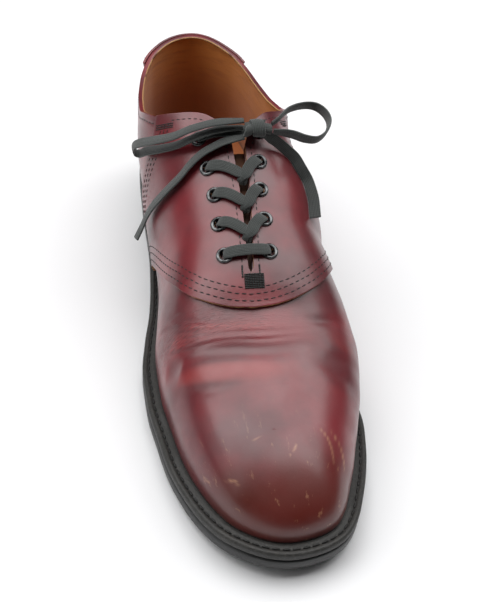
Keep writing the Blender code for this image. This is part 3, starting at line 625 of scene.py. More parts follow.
class Shader:
    """A node material being put together."""

    def __init__(self, name: str) -> None:
        """Start from an empty material with one Principled shader."""
        self.material = bpy.data.materials.new(name)
        self.material.use_nodes = True
        self.tree = self.material.node_tree
        self.tree.nodes.clear()
        self.surface = self.tree.nodes.new("ShaderNodeBsdfPrincipled")
        output = self.tree.nodes.new("ShaderNodeOutputMaterial")
        self.tree.links.new(self.surface.outputs[0], output.inputs["Surface"])

    def put(self, node: bpy.types.Node, key: str | int, value: object) -> None:
        """Link a socket or set a value on a node's input."""
        if isinstance(value, bpy.types.NodeSocket):
            self.tree.links.new(value, node.inputs[key])
        else:
            node.inputs[key].default_value = value

    def add(self, kind: str, inputs: dict | None = None, **settings: object) -> bpy.types.Node:
        """Add a node.

        Args:
            kind: The node's type, without its ShaderNode prefix.
            inputs: Values or sockets for its inputs.
            settings: The node's own settings.

        Returns:
            The node.
        """
        node = self.tree.nodes.new("ShaderNode" + kind)
        for key, value in settings.items():
            setattr(node, key, value)
        for key, value in (inputs or {}).items():
            self.put(node, key, value)
        return node

    def set(self, **inputs: object) -> None:
        """Set or link the shader's own inputs, with underscores for spaces."""
        for key, value in inputs.items():
            self.put(self.surface, key.replace("_", " "), value)

    def coords(self, scale: Sequence[float] = (1.0, 1.0, 1.0),
               turn: Sequence[float] = (0.0, 0.0, 0.0)) -> Socket:
        """Object coordinates, turned and scaled."""
        source = self.add("TexCoord").outputs["Object"]
        return self.add("Mapping", {"Vector": source, "Scale": scale, "Rotation": turn}).outputs["Vector"]

    def pattern(self, scale: Sequence[float]) -> Socket:
        """The piece's own flat pattern, in metres, scaled."""
        source = self.add("UVMap", uv_map="pattern").outputs["UV"]
        return self.add("Mapping", {"Vector": source, "Scale": scale}).outputs["Vector"]

    def noise(self, vector: Socket, scale: float, detail: float = 3.0, rough: float = 0.55,
              warp: float = 0.0) -> Socket:
        """Soft noise from 0 to 1."""
        return self.add("TexNoise", {"Vector": vector, "Scale": scale, "Detail": detail, "Roughness": rough,
                                     "Distortion": warp}).outputs["Fac"]

    def cells(self, vector: Socket, scale: float) -> Socket:
        """Distance to the nearest of many scattered points."""
        return self.add("TexVoronoi", {"Vector": vector, "Scale": scale}).outputs["Distance"]

    def math(self, operation: str, a: Socket | float, b: Socket | float = 0.0, clamp: bool = False) -> Socket:
        """One step of arithmetic."""
        return self.add("Math", {0: a, 1: b}, operation=operation, use_clamp=clamp).outputs[0]

    def between(self, value: Socket, low: float, high: float, to_low: float = 0.0,
                to_high: float = 1.0) -> Socket:
        """A value's place between two others, eased and clamped."""
        node = self.add("MapRange", {"Value": value, "From Min": low, "From Max": high, "To Min": to_low,
                                     "To Max": to_high}, interpolation_type="SMOOTHSTEP")
        return node.outputs[0]

    def blend(self, factor: Socket | float, a: Socket | Sequence[float], b: Socket | Sequence[float],
              how: str = "MIX") -> Socket:
        """Two colours mixed."""
        a = (*a, 1.0) if isinstance(a, tuple) and len(a) == 3 else a
        b = (*b, 1.0) if isinstance(b, tuple) and len(b) == 3 else b
        node = self.add("Mix", {0: factor, 6: a, 7: b}, data_type="RGBA", blend_type=how)
        return node.outputs[2]

    def attribute(self, name: str) -> Socket:
        """A number kept on the mesh."""
        return self.add("Attribute", attribute_name=name).outputs["Fac"]

    def bump(self, height: Socket, distance: float, strength: float = 1.0,
             under: Socket | None = None) -> Socket:
        """A bumped normal, on top of another if given."""
        inputs = {"Height": height, "Distance": distance, "Strength": strength}
        if under is not None:
            inputs["Normal"] = under
        return self.add("Bump", inputs).outputs["Normal"]


@dataclass(frozen=True)
class Leather:
    """Polished burgundy leather, darker in random patches and along its seams, with painted shade in its fold
    troughs and fine wrinkles and a painted highlight of brighter red on its raised folds.
    """

    name: str = "burgundy_leather"
    deep: Color = (0.085, 0.0060, 0.0100)
    red: Color = (0.190, 0.0130, 0.0190)
    # Painted highlight: the brighter red laid on the raised rolls of the folds.
    fold_highlight: Color = (0.340, 0.034, 0.032)
    toe: Color = (0.092, 0.0130, 0.0060)
    worn: Color = (0.40, 0.190, 0.100)
    roughness: float = 0.40
    coat: float = 0.55

    def build(self) -> bpy.types.Material:
        """Make the material."""
        s = Shader(self.name)
        place = s.coords()
        cloud = s.noise(place, 26.0, 4.0)
        color = s.blend(s.between(cloud, 0.35, 0.68), self.deep, self.red)
        crease = s.attribute("crease")
        # Painted highlight: brighter red where the folds rise.
        color = s.blend(s.between(crease, 0.00005, 0.0006, 0.0, 0.55), color, self.fold_highlight)
        # Painted shade: darker in the troughs of the folds.
        color = s.blend(s.between(crease, -0.0001, -0.0009, 0.0, 0.6), color, self.deep)
        forward = s.add("SeparateXYZ", {0: place}).outputs["Y"]
        toe_noise = s.math("ADD", forward, s.math("MULTIPLY", s.noise(place, 55.0), 0.016))
        color = s.blend(s.between(toe_noise, -0.100, -0.128, 0.0, 0.8), color, self.toe)
        edge = s.math("SUBTRACT", s.attribute("edge"), s.math("MULTIPLY", s.noise(place, 420.0), 0.0009))
        color = s.blend(s.between(edge, 0.0003, -0.0004, 0.0, 0.6), color, self.worn)
        speck = s.between(s.noise(place, 900.0, 2.0), 0.66, 0.74, 0.0, 0.35)
        color = s.blend(speck, color, self.toe)
        scuff = s.noise(s.coords((260.0, 50.0, 260.0), (0.0, 0.0, 0.12)), 1.0, 5.0, 0.7)
        scuffed, at_toe = s.between(scuff, 0.60, 0.70, 0.0, 0.5), s.between(forward, -0.090, -0.125)
        rubbed = s.math("MULTIPLY", scuffed, at_toe)
        color = s.blend(rubbed, color, self.worn)
        color = s.blend(s.attribute("scratch"), color, self.worn)
        # Darker along the pressed-in seam lines.
        seam_darkening = s.between(s.attribute("seam"), 0.15, 1.0, 0.0, 0.75)
        color = s.blend(seam_darkening, color, self.deep)
        grain = s.math("ADD", s.math("MULTIPLY", s.cells(place, 950.0), 0.6), s.noise(place, 2200.0, 2.0))
        wrinkle = s.noise(s.pattern((220.0, 1500.0, 1.0)), 1.0, 3.0, 0.6, 0.8)
        flex = s.attribute("flex")
        # Painted shade: darker in the troughs of the fine wrinkles, most where flex is high.
        fine = s.math("MULTIPLY", s.between(wrinkle, 0.55, 0.30), flex)
        color = s.blend(s.between(fine, 0.02, 0.6, 0.0, 0.75), color, self.deep)
        normal = s.bump(grain, 0.00007, 0.30)
        normal = s.bump(s.math("MULTIPLY", wrinkle, flex), 0.00055, 0.9, normal)
        seam = s.math("MULTIPLY", s.attribute("seam"), -1.0)
        normal = s.bump(seam, 0.0005, 0.8, normal)
        rough = s.between(s.noise(place, 70.0, 5.0), 0.3, 0.7, self.roughness - 0.05, self.roughness + 0.09)
        s.set(Base_Color=color, Roughness=rough, Normal=normal, Coat_Weight=self.coat, Coat_Roughness=0.27)
        return s.material


@dataclass(frozen=True)
class Lining:
    """Tan lining leather, brushed by wear, with painted shade that darkens it lower down inside the shoe."""

    name: str = "tan_lining"
    tan: Color = (0.62, 0.230, 0.038)
    # The painted shade colour lower inside the shoe, also used for the wear streaks.
    dark: Color = (0.300, 0.085, 0.015)
    height_lit: float = 0.088

    def build(self) -> bpy.types.Material:
        """Make the material."""
        s = Shader(self.name)
        place = s.coords()
        streak = s.noise(s.coords((60.0, 60.0, 420.0)), 1.0, 4.0)
        high = s.add("SeparateXYZ", {0: place}).outputs["Z"]
        # Painted shade: darker lower down inside the shoe, lighter towards the top edge.
        lit = s.between(high, 0.045, self.height_lit)
        color = s.blend(lit, self.dark, self.tan)
        color = s.blend(s.between(streak, 0.45, 0.75, 0.0, 0.45), color, self.dark)
        normal = s.bump(streak, 0.0004, 0.5, s.bump(s.noise(place, 1500.0), 0.0002, 0.5))
        s.set(Base_Color=color, Roughness=0.72, Normal=normal, Sheen_Weight=0.2)
        return s.material


@dataclass(frozen=True)
class RawEdge:
    """A cut edge of leather, pale and fuzzy, with some dye left on it."""

    name: str = "raw_edge"
    pale: Color = (0.420, 0.230, 0.095)
    dyed: Color = (0.085, 0.022, 0.014)

    def build(self) -> bpy.types.Material:
        """Make the material."""
        s = Shader(self.name)
        place = s.coords()
        cloud = s.noise(place, 130.0, 3.0)
        fibre = s.noise(place, 1800.0, 3.0)
        color = s.blend(s.between(cloud, 0.50, 0.70), self.pale, self.dyed)
        color = s.blend(s.between(fibre, 0.5, 0.8, 0.0, 0.5), color, self.dyed)
        s.set(Base_Color=color, Roughness=0.9, Normal=s.bump(fibre, 0.0003, 0.8))
        return s.material


@dataclass(frozen=True)
class DarkEdge:
    """Black edge wax over rubber or leather, rough, with a few pale scrapes."""

    name: str
    base: Color
    scraped: Color = (0.048, 0.046, 0.041)
    roughness: float = 0.46
    layers: float = 0.0

    def build(self) -> bpy.types.Material:
        """Make the material."""
        s = Shader(self.name)
        place = s.coords()
        cloud = s.noise(s.coords((1.0, 1.0, 2.4)), 70.0, 5.0, 0.65)
        pits = s.noise(place, 800.0, 3.0, 0.7)
        color = s.blend(s.between(cloud, 0.50, 0.78, 0.0, 0.6), self.base, self.scraped)
        color = s.blend(s.between(pits, 0.62, 0.75, 0.0, 0.5), color, self.scraped)
        normal = s.bump(pits, 0.0003, 0.55, s.bump(cloud, 0.0008, 0.35))
        if self.layers:
            high = s.add("SeparateXYZ", {0: place}).outputs["Z"]
            ply = s.math("FRACT", s.math("DIVIDE", high, self.layers))
            line = s.between(s.math("ABSOLUTE", s.math("SUBTRACT", ply, 0.5)), 0.40, 0.5)
            normal = s.bump(s.math("MULTIPLY", line, -1.0), 0.0004, 0.8, normal)
        rough = s.between(cloud, 0.3, 0.7, self.roughness - 0.08, self.roughness + 0.12)
        s.set(Base_Color=color, Roughness=rough, Normal=normal, Coat_Weight=0.12, Coat_Roughness=0.3)
        return s.material


@dataclass(frozen=True)
class WeltTop:
    """The welt's ribbed top, dark with dust in its pores."""

    name: str = "stitched_welt"
    base: Color = (0.019, 0.018, 0.016)
    dust: Color = (0.045, 0.041, 0.035)

    def build(self) -> bpy.types.Material:
        """Make the material."""
        s = Shader(self.name)
        place = s.coords()
        cloud = s.noise(place, 60.0, 4.0)
        pores = s.noise(place, 620.0, 4.0, 0.7)
        color = s.blend(s.between(pores, 0.46, 0.72, 0.0, 0.65), self.base, self.dust)
        color = s.blend(s.between(cloud, 0.55, 0.75, 0.0, 0.35), color, self.dust)
        normal = s.bump(pores, 0.0005, 0.9)
        s.set(Base_Color=color, Roughness=0.56, Normal=normal, Coat_Weight=0.08)
        return s.material


@dataclass(frozen=True)
class Gunmetal:
    """Dark plated metal, rubbed bright in random patches."""

    name: str = "gunmetal"
    dark: Color = (0.030, 0.031, 0.032)
    bright: Color = (0.150, 0.153, 0.155)

    def build(self) -> bpy.types.Material:
        """Make the material."""
        s = Shader(self.name)
        place = s.coords()
        cloud = s.noise(place, 300.0, 4.0)
        color = s.blend(s.between(cloud, 0.35, 0.62), self.dark, self.bright)
        rough = s.between(cloud, 0.3, 0.7, 0.22, 0.42)
        normal = s.bump(s.noise(place, 1600.0), 0.00008, 0.4)
        s.set(Base_Color=color, Metallic=1.0, Roughness=rough, Normal=normal)
        return s.material


@dataclass(frozen=True)
class Cotton:
    """Faded black flat lace: fine herringbone ribs that run along it."""

    name: str = "faded_black_cotton"
    dark: Color = (0.0085, 0.0098, 0.0092)
    faded: Color = (0.046, 0.054, 0.050)
    ribs: float = 0.00075
    picks: float = 0.0011

    def build(self) -> bpy.types.Material:
        """Make the material."""
        s = Shader(self.name)
        split = s.add("SeparateXYZ", {0: s.add("UVMap", uv_map="pattern").outputs["UV"]})
        along, across = split.outputs["X"], split.outputs["Y"]
        rib = s.math("FRACT", s.math("DIVIDE", across, self.ribs))
        side = s.math("ABSOLUTE", s.math("SUBTRACT", rib, 0.5))
        slant = s.math("ADD", s.math("DIVIDE", along, self.picks), s.math("MULTIPLY", side, 1.6))
        pick = s.math("ABSOLUTE", s.math("SUBTRACT", s.math("FRACT", slant), 0.5))
        weave = s.math("MULTIPLY", s.math("SUBTRACT", 1.0, s.math("MULTIPLY", side, 1.4)),
                       s.math("SUBTRACT", 1.0, s.math("MULTIPLY", pick, 0.9)))
        place = s.coords()
        fuzz = s.noise(place, 2600.0, 3.0)
        cloud = s.noise(place, 90.0, 4.0)
        color = s.blend(s.between(weave, 0.15, 0.85), self.dark, self.faded)
        color = s.blend(s.between(cloud, 0.4, 0.75, 0.0, 0.4), color, self.faded)
        normal = s.bump(weave, 0.00022, 0.9, s.bump(fuzz, 0.00015, 0.6))
        s.set(Base_Color=color, Roughness=0.88, Normal=normal, Sheen_Weight=0.25, Sheen_Roughness=0.6)
        return s.material


@dataclass(frozen=True)
class Thread:
    """Waxed sewing thread."""

    name: str
    color: Color

    def build(self) -> bpy.types.Material:
        """Make the material."""
        s = Shader(self.name)
        place = s.coords()
        twist = s.noise(place, 1500.0, 2.0)
        color = s.blend(twist, self.color, tuple(0.45 * c for c in self.color))
        s.set(Base_Color=color, Roughness=0.55, Normal=s.bump(twist, 0.0001, 0.7))
        return s.material


@dataclass(frozen=True)
class Finishes:
    """Every material of the shoe."""

    leather: bpy.types.Material
    lining: bpy.types.Material
    tongue: bpy.types.Material
    raw_edge: bpy.types.Material
    sole: bpy.types.Material
    stack: bpy.types.Material
    welt: bpy.types.Material
    metal: bpy.types.Material
    cotton: bpy.types.Material
    thread: bpy.types.Material
    black_thread: bpy.types.Material


def make_finishes() -> Finishes:
    """Build the materials once, for all pieces."""
    return Finishes(
        leather=Leather().build(), lining=Lining().build(),
        # The tongue's near-black second colour is painted shade down in the slit, below its lit top.
        tongue=Lining("tongue_leather", (0.150, 0.052, 0.018), (0.018, 0.006, 0.004), 0.105).build(),
        raw_edge=RawEdge().build(),
        sole=DarkEdge("black_sole", (0.012, 0.012, 0.012)).build(),
        stack=DarkEdge("stacked_heel", (0.016, 0.013, 0.011), layers=0.0045).build(),
        welt=WeltTop().build(), metal=Gunmetal().build(), cotton=Cotton().build(),
        thread=Thread("burgundy_thread", (0.018, 0.0035, 0.0045)).build(),
        black_thread=Thread("black_thread", (0.012, 0.011, 0.010)).build())


def new_piece(name: str, mesh: bpy.types.Mesh, finishes: Iterable[bpy.types.Material], slot: str,
              *nodes: str) -> bpy.types.Object:
    """Put a mesh in the scene as a piece of the shoe.

    Args:
        name: The piece's name.
        mesh: Its mesh, in its place.
        finishes: Its materials, in the order of the mesh's material numbers.
        slot: Not used.
        nodes: The CAD nodes that it stands for.

    Returns:
        The piece.
    """
    obj = bpy.data.objects.new(name, mesh)
    bpy.context.scene.collection.objects.link(obj)
    if not mesh.materials:
        for finish in finishes:
            mesh.materials.append(finish)
    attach(obj, "root")
    if nodes:
        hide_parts(*nodes)
    log.info("%s: %d faces", name, len(mesh.polygons))
    return obj


def mesh_of(name: str, points: np.ndarray, faces: Sequence[Sequence[int]], uv: np.ndarray | None = None,
            values: dict[str, np.ndarray] | None = None, merge: float = 0.00001) -> bpy.types.Mesh:
    """A smooth mesh with its doubles merged.

    Args:
        name: The mesh's name.
        points: Its points.
        faces: Its faces, by point numbers.
        uv: A flat pattern coordinate for each point, in metres.
        values: Named numbers for each point.
        merge: How close two points are merged.

    Returns:
        The mesh.
    """
    mesh = bpy.data.meshes.new(name)
    mesh.from_pydata(points.tolist(), [], [tuple(face) for face in faces])
    if uv is not None:
        layer = mesh.uv_layers.new(name="pattern")
        corners = np.zeros(len(mesh.loops), dtype=np.int32)
        mesh.loops.foreach_get("vertex_index", corners)
        layer.data.foreach_set("uv", uv[corners].astype(np.float32).ravel())
    for key, numbers in (values or {}).items():
        mesh.attributes.new(key, "FLOAT", "POINT").data.foreach_set("value", numbers.astype(np.float32))
    cage = bmesh.new()
    cage.from_mesh(mesh)
    bmesh.ops.remove_doubles(cage, verts=cage.verts, dist=merge)
    cage.to_mesh(mesh)
    cage.free()
    mesh.shade_smooth()
    return mesh


def applied(obj: bpy.types.Object) -> bpy.types.Mesh:
    """The object's evaluated mesh, with its modifiers taken off the object."""
    graph = bpy.context.evaluated_depsgraph_get()
    mesh = bpy.data.meshes.new_from_object(obj.evaluated_get(graph))
    obj.modifiers.clear()
    return mesh


def grid_faces(rows: int, columns: int, start: int, flip: bool) -> list[tuple[int, ...]]:
    """Quads of a grid of points numbered row by row."""
    a = (start + np.arange(rows - 1)[:, None] * columns + np.arange(columns - 1)).reshape(-1)
    quads = np.stack([a, a + columns, a + columns + 1, a + 1], axis=1)
    return [tuple(q) for q in (quads[:, ::-1] if flip else quads).tolist()]


@dataclass
class Hide:
    """Sheets of leather laid over the last, with their walls, edges and seams."""

    last: Last
    creases: Creases
    finishes: Finishes
    eyelet_seats: np.ndarray
    hole_radius: float = 0.0030
    edge_rounding: float = 0.00045
    scratch_half: float = 0.00045

    def sheet(self, name: str, grids: dict[Side, tuple[np.ndarray, np.ndarray]], lift: float,
              edges: Sequence[np.ndarray], seams: Sequence[tuple[np.ndarray, float]]) -> bpy.types.Object:
        """An open sheet over both sides, in the scene but not yet a piece.

        Args:
            name: Its name.
            grids: Each side's stations and girth shares.
            lift: Its height above the last.
            edges: Lines of points along its worn edges.
            seams: Lines of points along its seams, each with the seam's half width.

        Returns:
            The sheet's object.
        """
        points, faces, uv, crease, flex, scratch, start = [], [], [], [], [], [], 0
        for side, (station, share) in grids.items():
            station, share = np.broadcast_arrays(station, share)
            fold = self.creases.lift(side, station, share)
            place = self.last.point(side, station, share, lift + fold)
            faces += grid_faces(*station.shape, start, side is Side.MEDIAL)
            start += station.size
            across = side.value * (1 - share) * self.last.girth(side, station)
            points.append(place.reshape(-1, 3))
            uv.append(np.stack([across.reshape(-1), station.reshape(-1) * self.last.length], axis=1))
            crease.append(fold.reshape(-1))
            flex.append(self.flex(across, station).reshape(-1))
            scratch.append(self.scratched(across, station))
        points = np.vstack(points)
        values = {"crease": np.concatenate(crease), "flex": np.concatenate(flex),
                  "scratch": np.concatenate(scratch),
                  "edge": self.nearest(points, edges, 0.004), "seam": self.pressed(points, seams)}
        mesh = mesh_of(name, points, self.pierced(points, faces), np.vstack(uv), values)
        obj = bpy.data.objects.new(name, mesh)
        bpy.context.scene.collection.objects.link(obj)
        return obj

    def scratched(self, across: np.ndarray, station: np.ndarray) -> np.ndarray:
        """Where the dye is scratched through, from 0 to 1."""
        flat = np.stack([across.reshape(-1), station.reshape(-1) * self.last.length], axis=1)
        total = np.zeros(len(flat))
        for scratch in SCRATCHES:
            line = np.array([(x, station * self.last.length) for x, station in scratch])
            gap, where = distance_to(flat, line)
            depth = 0.8 * np.exp(-(gap / self.scratch_half) ** 2) * (0.4 + 0.6 * np.sin(np.pi * where))
            total = np.maximum(total, depth)
        return total

    def flex(self, across: np.ndarray, station: np.ndarray) -> np.ndarray:
        """How finely wrinkled the leather is, which also sets the painted shade in its wrinkles: most in front
        of the saddle, on the lateral side.
        """
        along = np.exp(-((station - 0.690 - 0.5 * np.minimum(across, 0.0)) / 0.030) ** 2)
        sideways = np.clip(0.45 - across / 0.05, 0.10, 1.0)
        return np.where(station > 0.56, along * sideways, 0.0) + 0.04

    def nearest(self, points: np.ndarray, lines: Sequence[np.ndarray], far: float) -> np.ndarray:
        """Distance from each point to the nearest of some lines, up to a far value."""
        best = np.full(len(points), far)
        for line in lines:
            near = np.all((points > line.min(axis=0) - far) & (points < line.max(axis=0) + far), axis=1)
            if near.any():
                best[near] = np.minimum(best[near], distance_to(points[near], line)[0])
        return best

    def pressed(self, points: np.ndarray, seams: Sequence[tuple[np.ndarray, float]]) -> np.ndarray:
        """How far the leather is pressed in by seams, from 0 to 1."""
        total = np.zeros(len(points))
        for line, half in seams:
            total = np.maximum(total, np.exp(-(self.nearest(points, [line], 0.006) / half) ** 2))
        return total

    def pierced(self, points: np.ndarray, faces: list[tuple[int, ...]]) -> list[tuple[int, ...]]:
        """The faces without those in the eyelet holes."""
        centres = points[np.array(faces)].mean(axis=1)
        open_ = np.zeros(len(faces), bool)
        for seat in self.eyelet_seats:
            open_ |= np.linalg.norm(centres - seat, axis=1) < self.hole_radius
        return [face for face, gone in zip(faces, open_) if not gone]

    def wall(self, obj: bpy.types.Object, thickness: float, outward: bool, slots: tuple[int, int]) -> None:
        """Give a sheet its wall, with a rounded rim, and material numbers for its back and rim."""
        solid = obj.modifiers.new("Wall", "SOLIDIFY")
        solid.thickness = thickness
        solid.offset = 1.0 if outward else -1.0
        solid.use_even_offset = True
        solid.use_quality_normals = True
        solid.material_offset, solid.material_offset_rim = slots
        rim = obj.modifiers.new("Rim", "BEVEL")
        rim.width = self.edge_rounding
        rim.segments = 2
        rim.limit_method = "ANGLE"
        rim.angle_limit = math.radians(55)
        rim.use_clamp_overlap = True

    def finish(self, obj: bpy.types.Object, materials: Sequence[bpy.types.Material], slot: str,
               *nodes: str) -> bpy.types.Object:
        """Turn a walled sheet into a piece of the shoe."""
        for material in materials:
            obj.data.materials.append(material)
        mesh = applied(obj)
        mesh.name = obj.name
        name = obj.name
        bpy.data.objects.remove(obj, do_unlink=True)
        return new_piece(name, mesh, materials, slot, *nodes)


@dataclass
class Pattern:
    """The lines that the shoemaker cuts and sews along, as places on the last."""

    last: Last
    lift: float
    front_rows: tuple[float, ...] = (0.0027, 0.0055, 0.0081)
    rear_rows: tuple[float, ...] = (0.0016, 0.0042, 0.0068)
    opening_row: float = 0.0030
    band_rows: tuple[float, ...] = (0.0016, 0.0036)
    hem: float = 0.015

    def flat(self, side: Side, station: np.ndarray, share: np.ndarray) -> np.ndarray:
        """Places laid out flat: across from the ridge, and along."""
        across = side.value * (1 - share) * self.last.girth(side, station)
        return np.stack([across, station * self.last.length], axis=-1)

    def solid(self, flat: np.ndarray, lift: float | None = None) -> np.ndarray:
        """Flat places back on the last."""
        return self.last.across_ridge(flat[:, 0], flat[:, 1] / self.last.length,
                                      self.lift if lift is None else lift)[0]

    @staticmethod
    def moved(flat: np.ndarray, distance: float) -> np.ndarray:
        """A flat line moved to its left as it runs."""
        along = np.gradient(flat, axis=0)
        along /= np.linalg.norm(along, axis=1, keepdims=True)
        return flat + distance * np.stack([-along[:, 1], along[:, 0]], axis=1)

    def edge(self, side: Side, table: Table, column: str, count: int = 90) -> np.ndarray:
        """An overlay's edge from its hem to the top, laid out flat."""
        up = np.linspace(0.0, 1.0, count)
        station = table.read(column, up)
        share = self.hem + (self.last.top_share(side, station) - self.hem) * up
        return self.flat(side, station, share)

    def opening(self, side: Side, first: float, last: float, count: int = 160) -> np.ndarray:
        """The collar's and facing's edge between two stations, laid out flat."""
        station = np.linspace(first, last, count)
        return self.flat(side, station, self.last.top_share(side, station))

    def front(self, distance: float) -> np.ndarray:
        """The saddle's front edge from side to side, or a row behind it, on the last."""
        lateral = self.edge(Side.LATERAL, SADDLE_EDGES, "front")
        medial = self.edge(Side.MEDIAL, SADDLE_EDGES, "front")[::-1]
        return self.solid(self.moved(np.vstack([lateral[:-1], medial]), -distance)[2:-2])

    def rear(self, side: Side, distance: float) -> np.ndarray:
        """The saddle's rear edge, or a row in front of it, on the last."""
        flat = self.edge(side, SADDLE_EDGES, "rear")
        return self.solid(self.moved(flat, -side.value * distance)[3:-12])

    def collar(self, side: Side, distance: float, first: float, last: float, lift: float) -> np.ndarray:
        """The opening's edge between two stations, or a row below it, on the last."""
        flat = self.opening(side, first, last)
        return self.solid(self.moved(flat, -side.value * distance), lift)

    def band(self, side: Side, distance: float) -> np.ndarray:
        """The heel band's edge, or a row behind it, on the last."""
        flat = self.edge(side, BAND_EDGE, "edge")
        return self.solid(self.moved(flat, side.value * distance)[2:-5])


class StitchRun:
    """A row of stitches, made by Geometry Nodes along a curve."""

    def __init__(self) -> None:
        """Build the node tree once."""
        self.tree = bpy.data.node_groups.new("stitch_run", "GeometryNodeTree")
        face = self.tree.interface
        face.new_socket("Geometry", in_out="INPUT", socket_type="NodeSocketGeometry")
        self.inputs = {}
        for name, kind in (("Pitch", "NodeSocketFloat"), ("Length", "NodeSocketFloat"),
                           ("Radius", "NodeSocketFloat"), ("Material", "NodeSocketMaterial")):
            self.inputs[name] = face.new_socket(name, in_out="INPUT", socket_type=kind).identifier
        face.new_socket("Geometry", in_out="OUTPUT", socket_type="NodeSocketGeometry")
        new, link = self.tree.nodes.new, self.tree.links.new
        source, target = new("NodeGroupInput"), new("NodeGroupOutput")
        even = new("GeometryNodeResampleCurve")
        even.mode = "LENGTH"
        link(source.outputs["Geometry"], even.inputs["Curve"])
        link(source.outputs["Pitch"], even.inputs["Length"])
        stitch = new("GeometryNodeMeshUVSphere")
        stitch.inputs["Segments"].default_value = 6
        stitch.inputs["Rings"].default_value = 5
        stitch.inputs["Radius"].default_value = 1.0
        tangent = new("GeometryNodeInputTangent")
        turn = new("FunctionNodeAlignRotationToVector")
        turn.axis = "Z"
        link(tangent.outputs[0], turn.inputs["Vector"])
        size = new("ShaderNodeCombineXYZ")
        half = new("ShaderNodeMath")
        half.operation = "MULTIPLY"
        half.inputs[1].default_value = 0.5
        link(source.outputs["Length"], half.inputs[0])
        link(source.outputs["Radius"], size.inputs["X"])
        link(source.outputs["Radius"], size.inputs["Y"])
        link(half.outputs[0], size.inputs["Z"])
        place = new("GeometryNodeInstanceOnPoints")
        link(even.outputs["Curve"], place.inputs["Points"])
        link(stitch.outputs["Mesh"], place.inputs["Instance"])
        link(turn.outputs["Rotation"], place.inputs["Rotation"])
        link(size.outputs["Vector"], place.inputs["Scale"])
        real = new("GeometryNodeRealizeInstances")
        link(place.outputs["Instances"], real.inputs["Geometry"])
        smooth = new("GeometryNodeSetShadeSmooth")
        link(real.outputs["Geometry"], smooth.inputs["Geometry"])
        dress = new("GeometryNodeSetMaterial")
        link(smooth.outputs["Geometry"], dress.inputs["Geometry"])
        link(source.outputs["Material"], dress.inputs["Material"])
        link(dress.outputs["Geometry"], target.inputs["Geometry"])

    def sew(self, name: str, rows: Sequence[np.ndarray], finish: bpy.types.Material, pitch: float,
            length: float, radius: float, slot: str = "leather") -> bpy.types.Object:
        """Sew rows of stitches as one piece.

        Args:
            name: The piece's name.
            rows: Lines of points that the stitches follow.
            finish: The thread's material.
            pitch: From the start of one stitch to the next.
            length: A stitch's length.
            radius: The thread's radius.
            slot: Passed on to new_piece, which does not use it.

        Returns:
            The piece.
        """
        curve = bpy.data.curves.new(name, "CURVE")
        curve.dimensions = "3D"
        for row in rows:
            spline = curve.splines.new("POLY")
            spline.points.add(len(row) - 1)
            points = np.column_stack([row, np.ones(len(row))])
            spline.points.foreach_set("co", points.astype(np.float32).ravel())
        obj = bpy.data.objects.new(name, curve)
        bpy.context.scene.collection.objects.link(obj)
        run = obj.modifiers.new("Stitches", "NODES")
        run.node_group = self.tree
        run[self.inputs["Pitch"]] = pitch
        run[self.inputs["Length"]] = length
        run[self.inputs["Radius"]] = radius
        run[self.inputs["Material"]] = finish
        mesh = applied(obj)
        bpy.data.objects.remove(obj, do_unlink=True)
        return new_piece(name, mesh, [finish], slot)


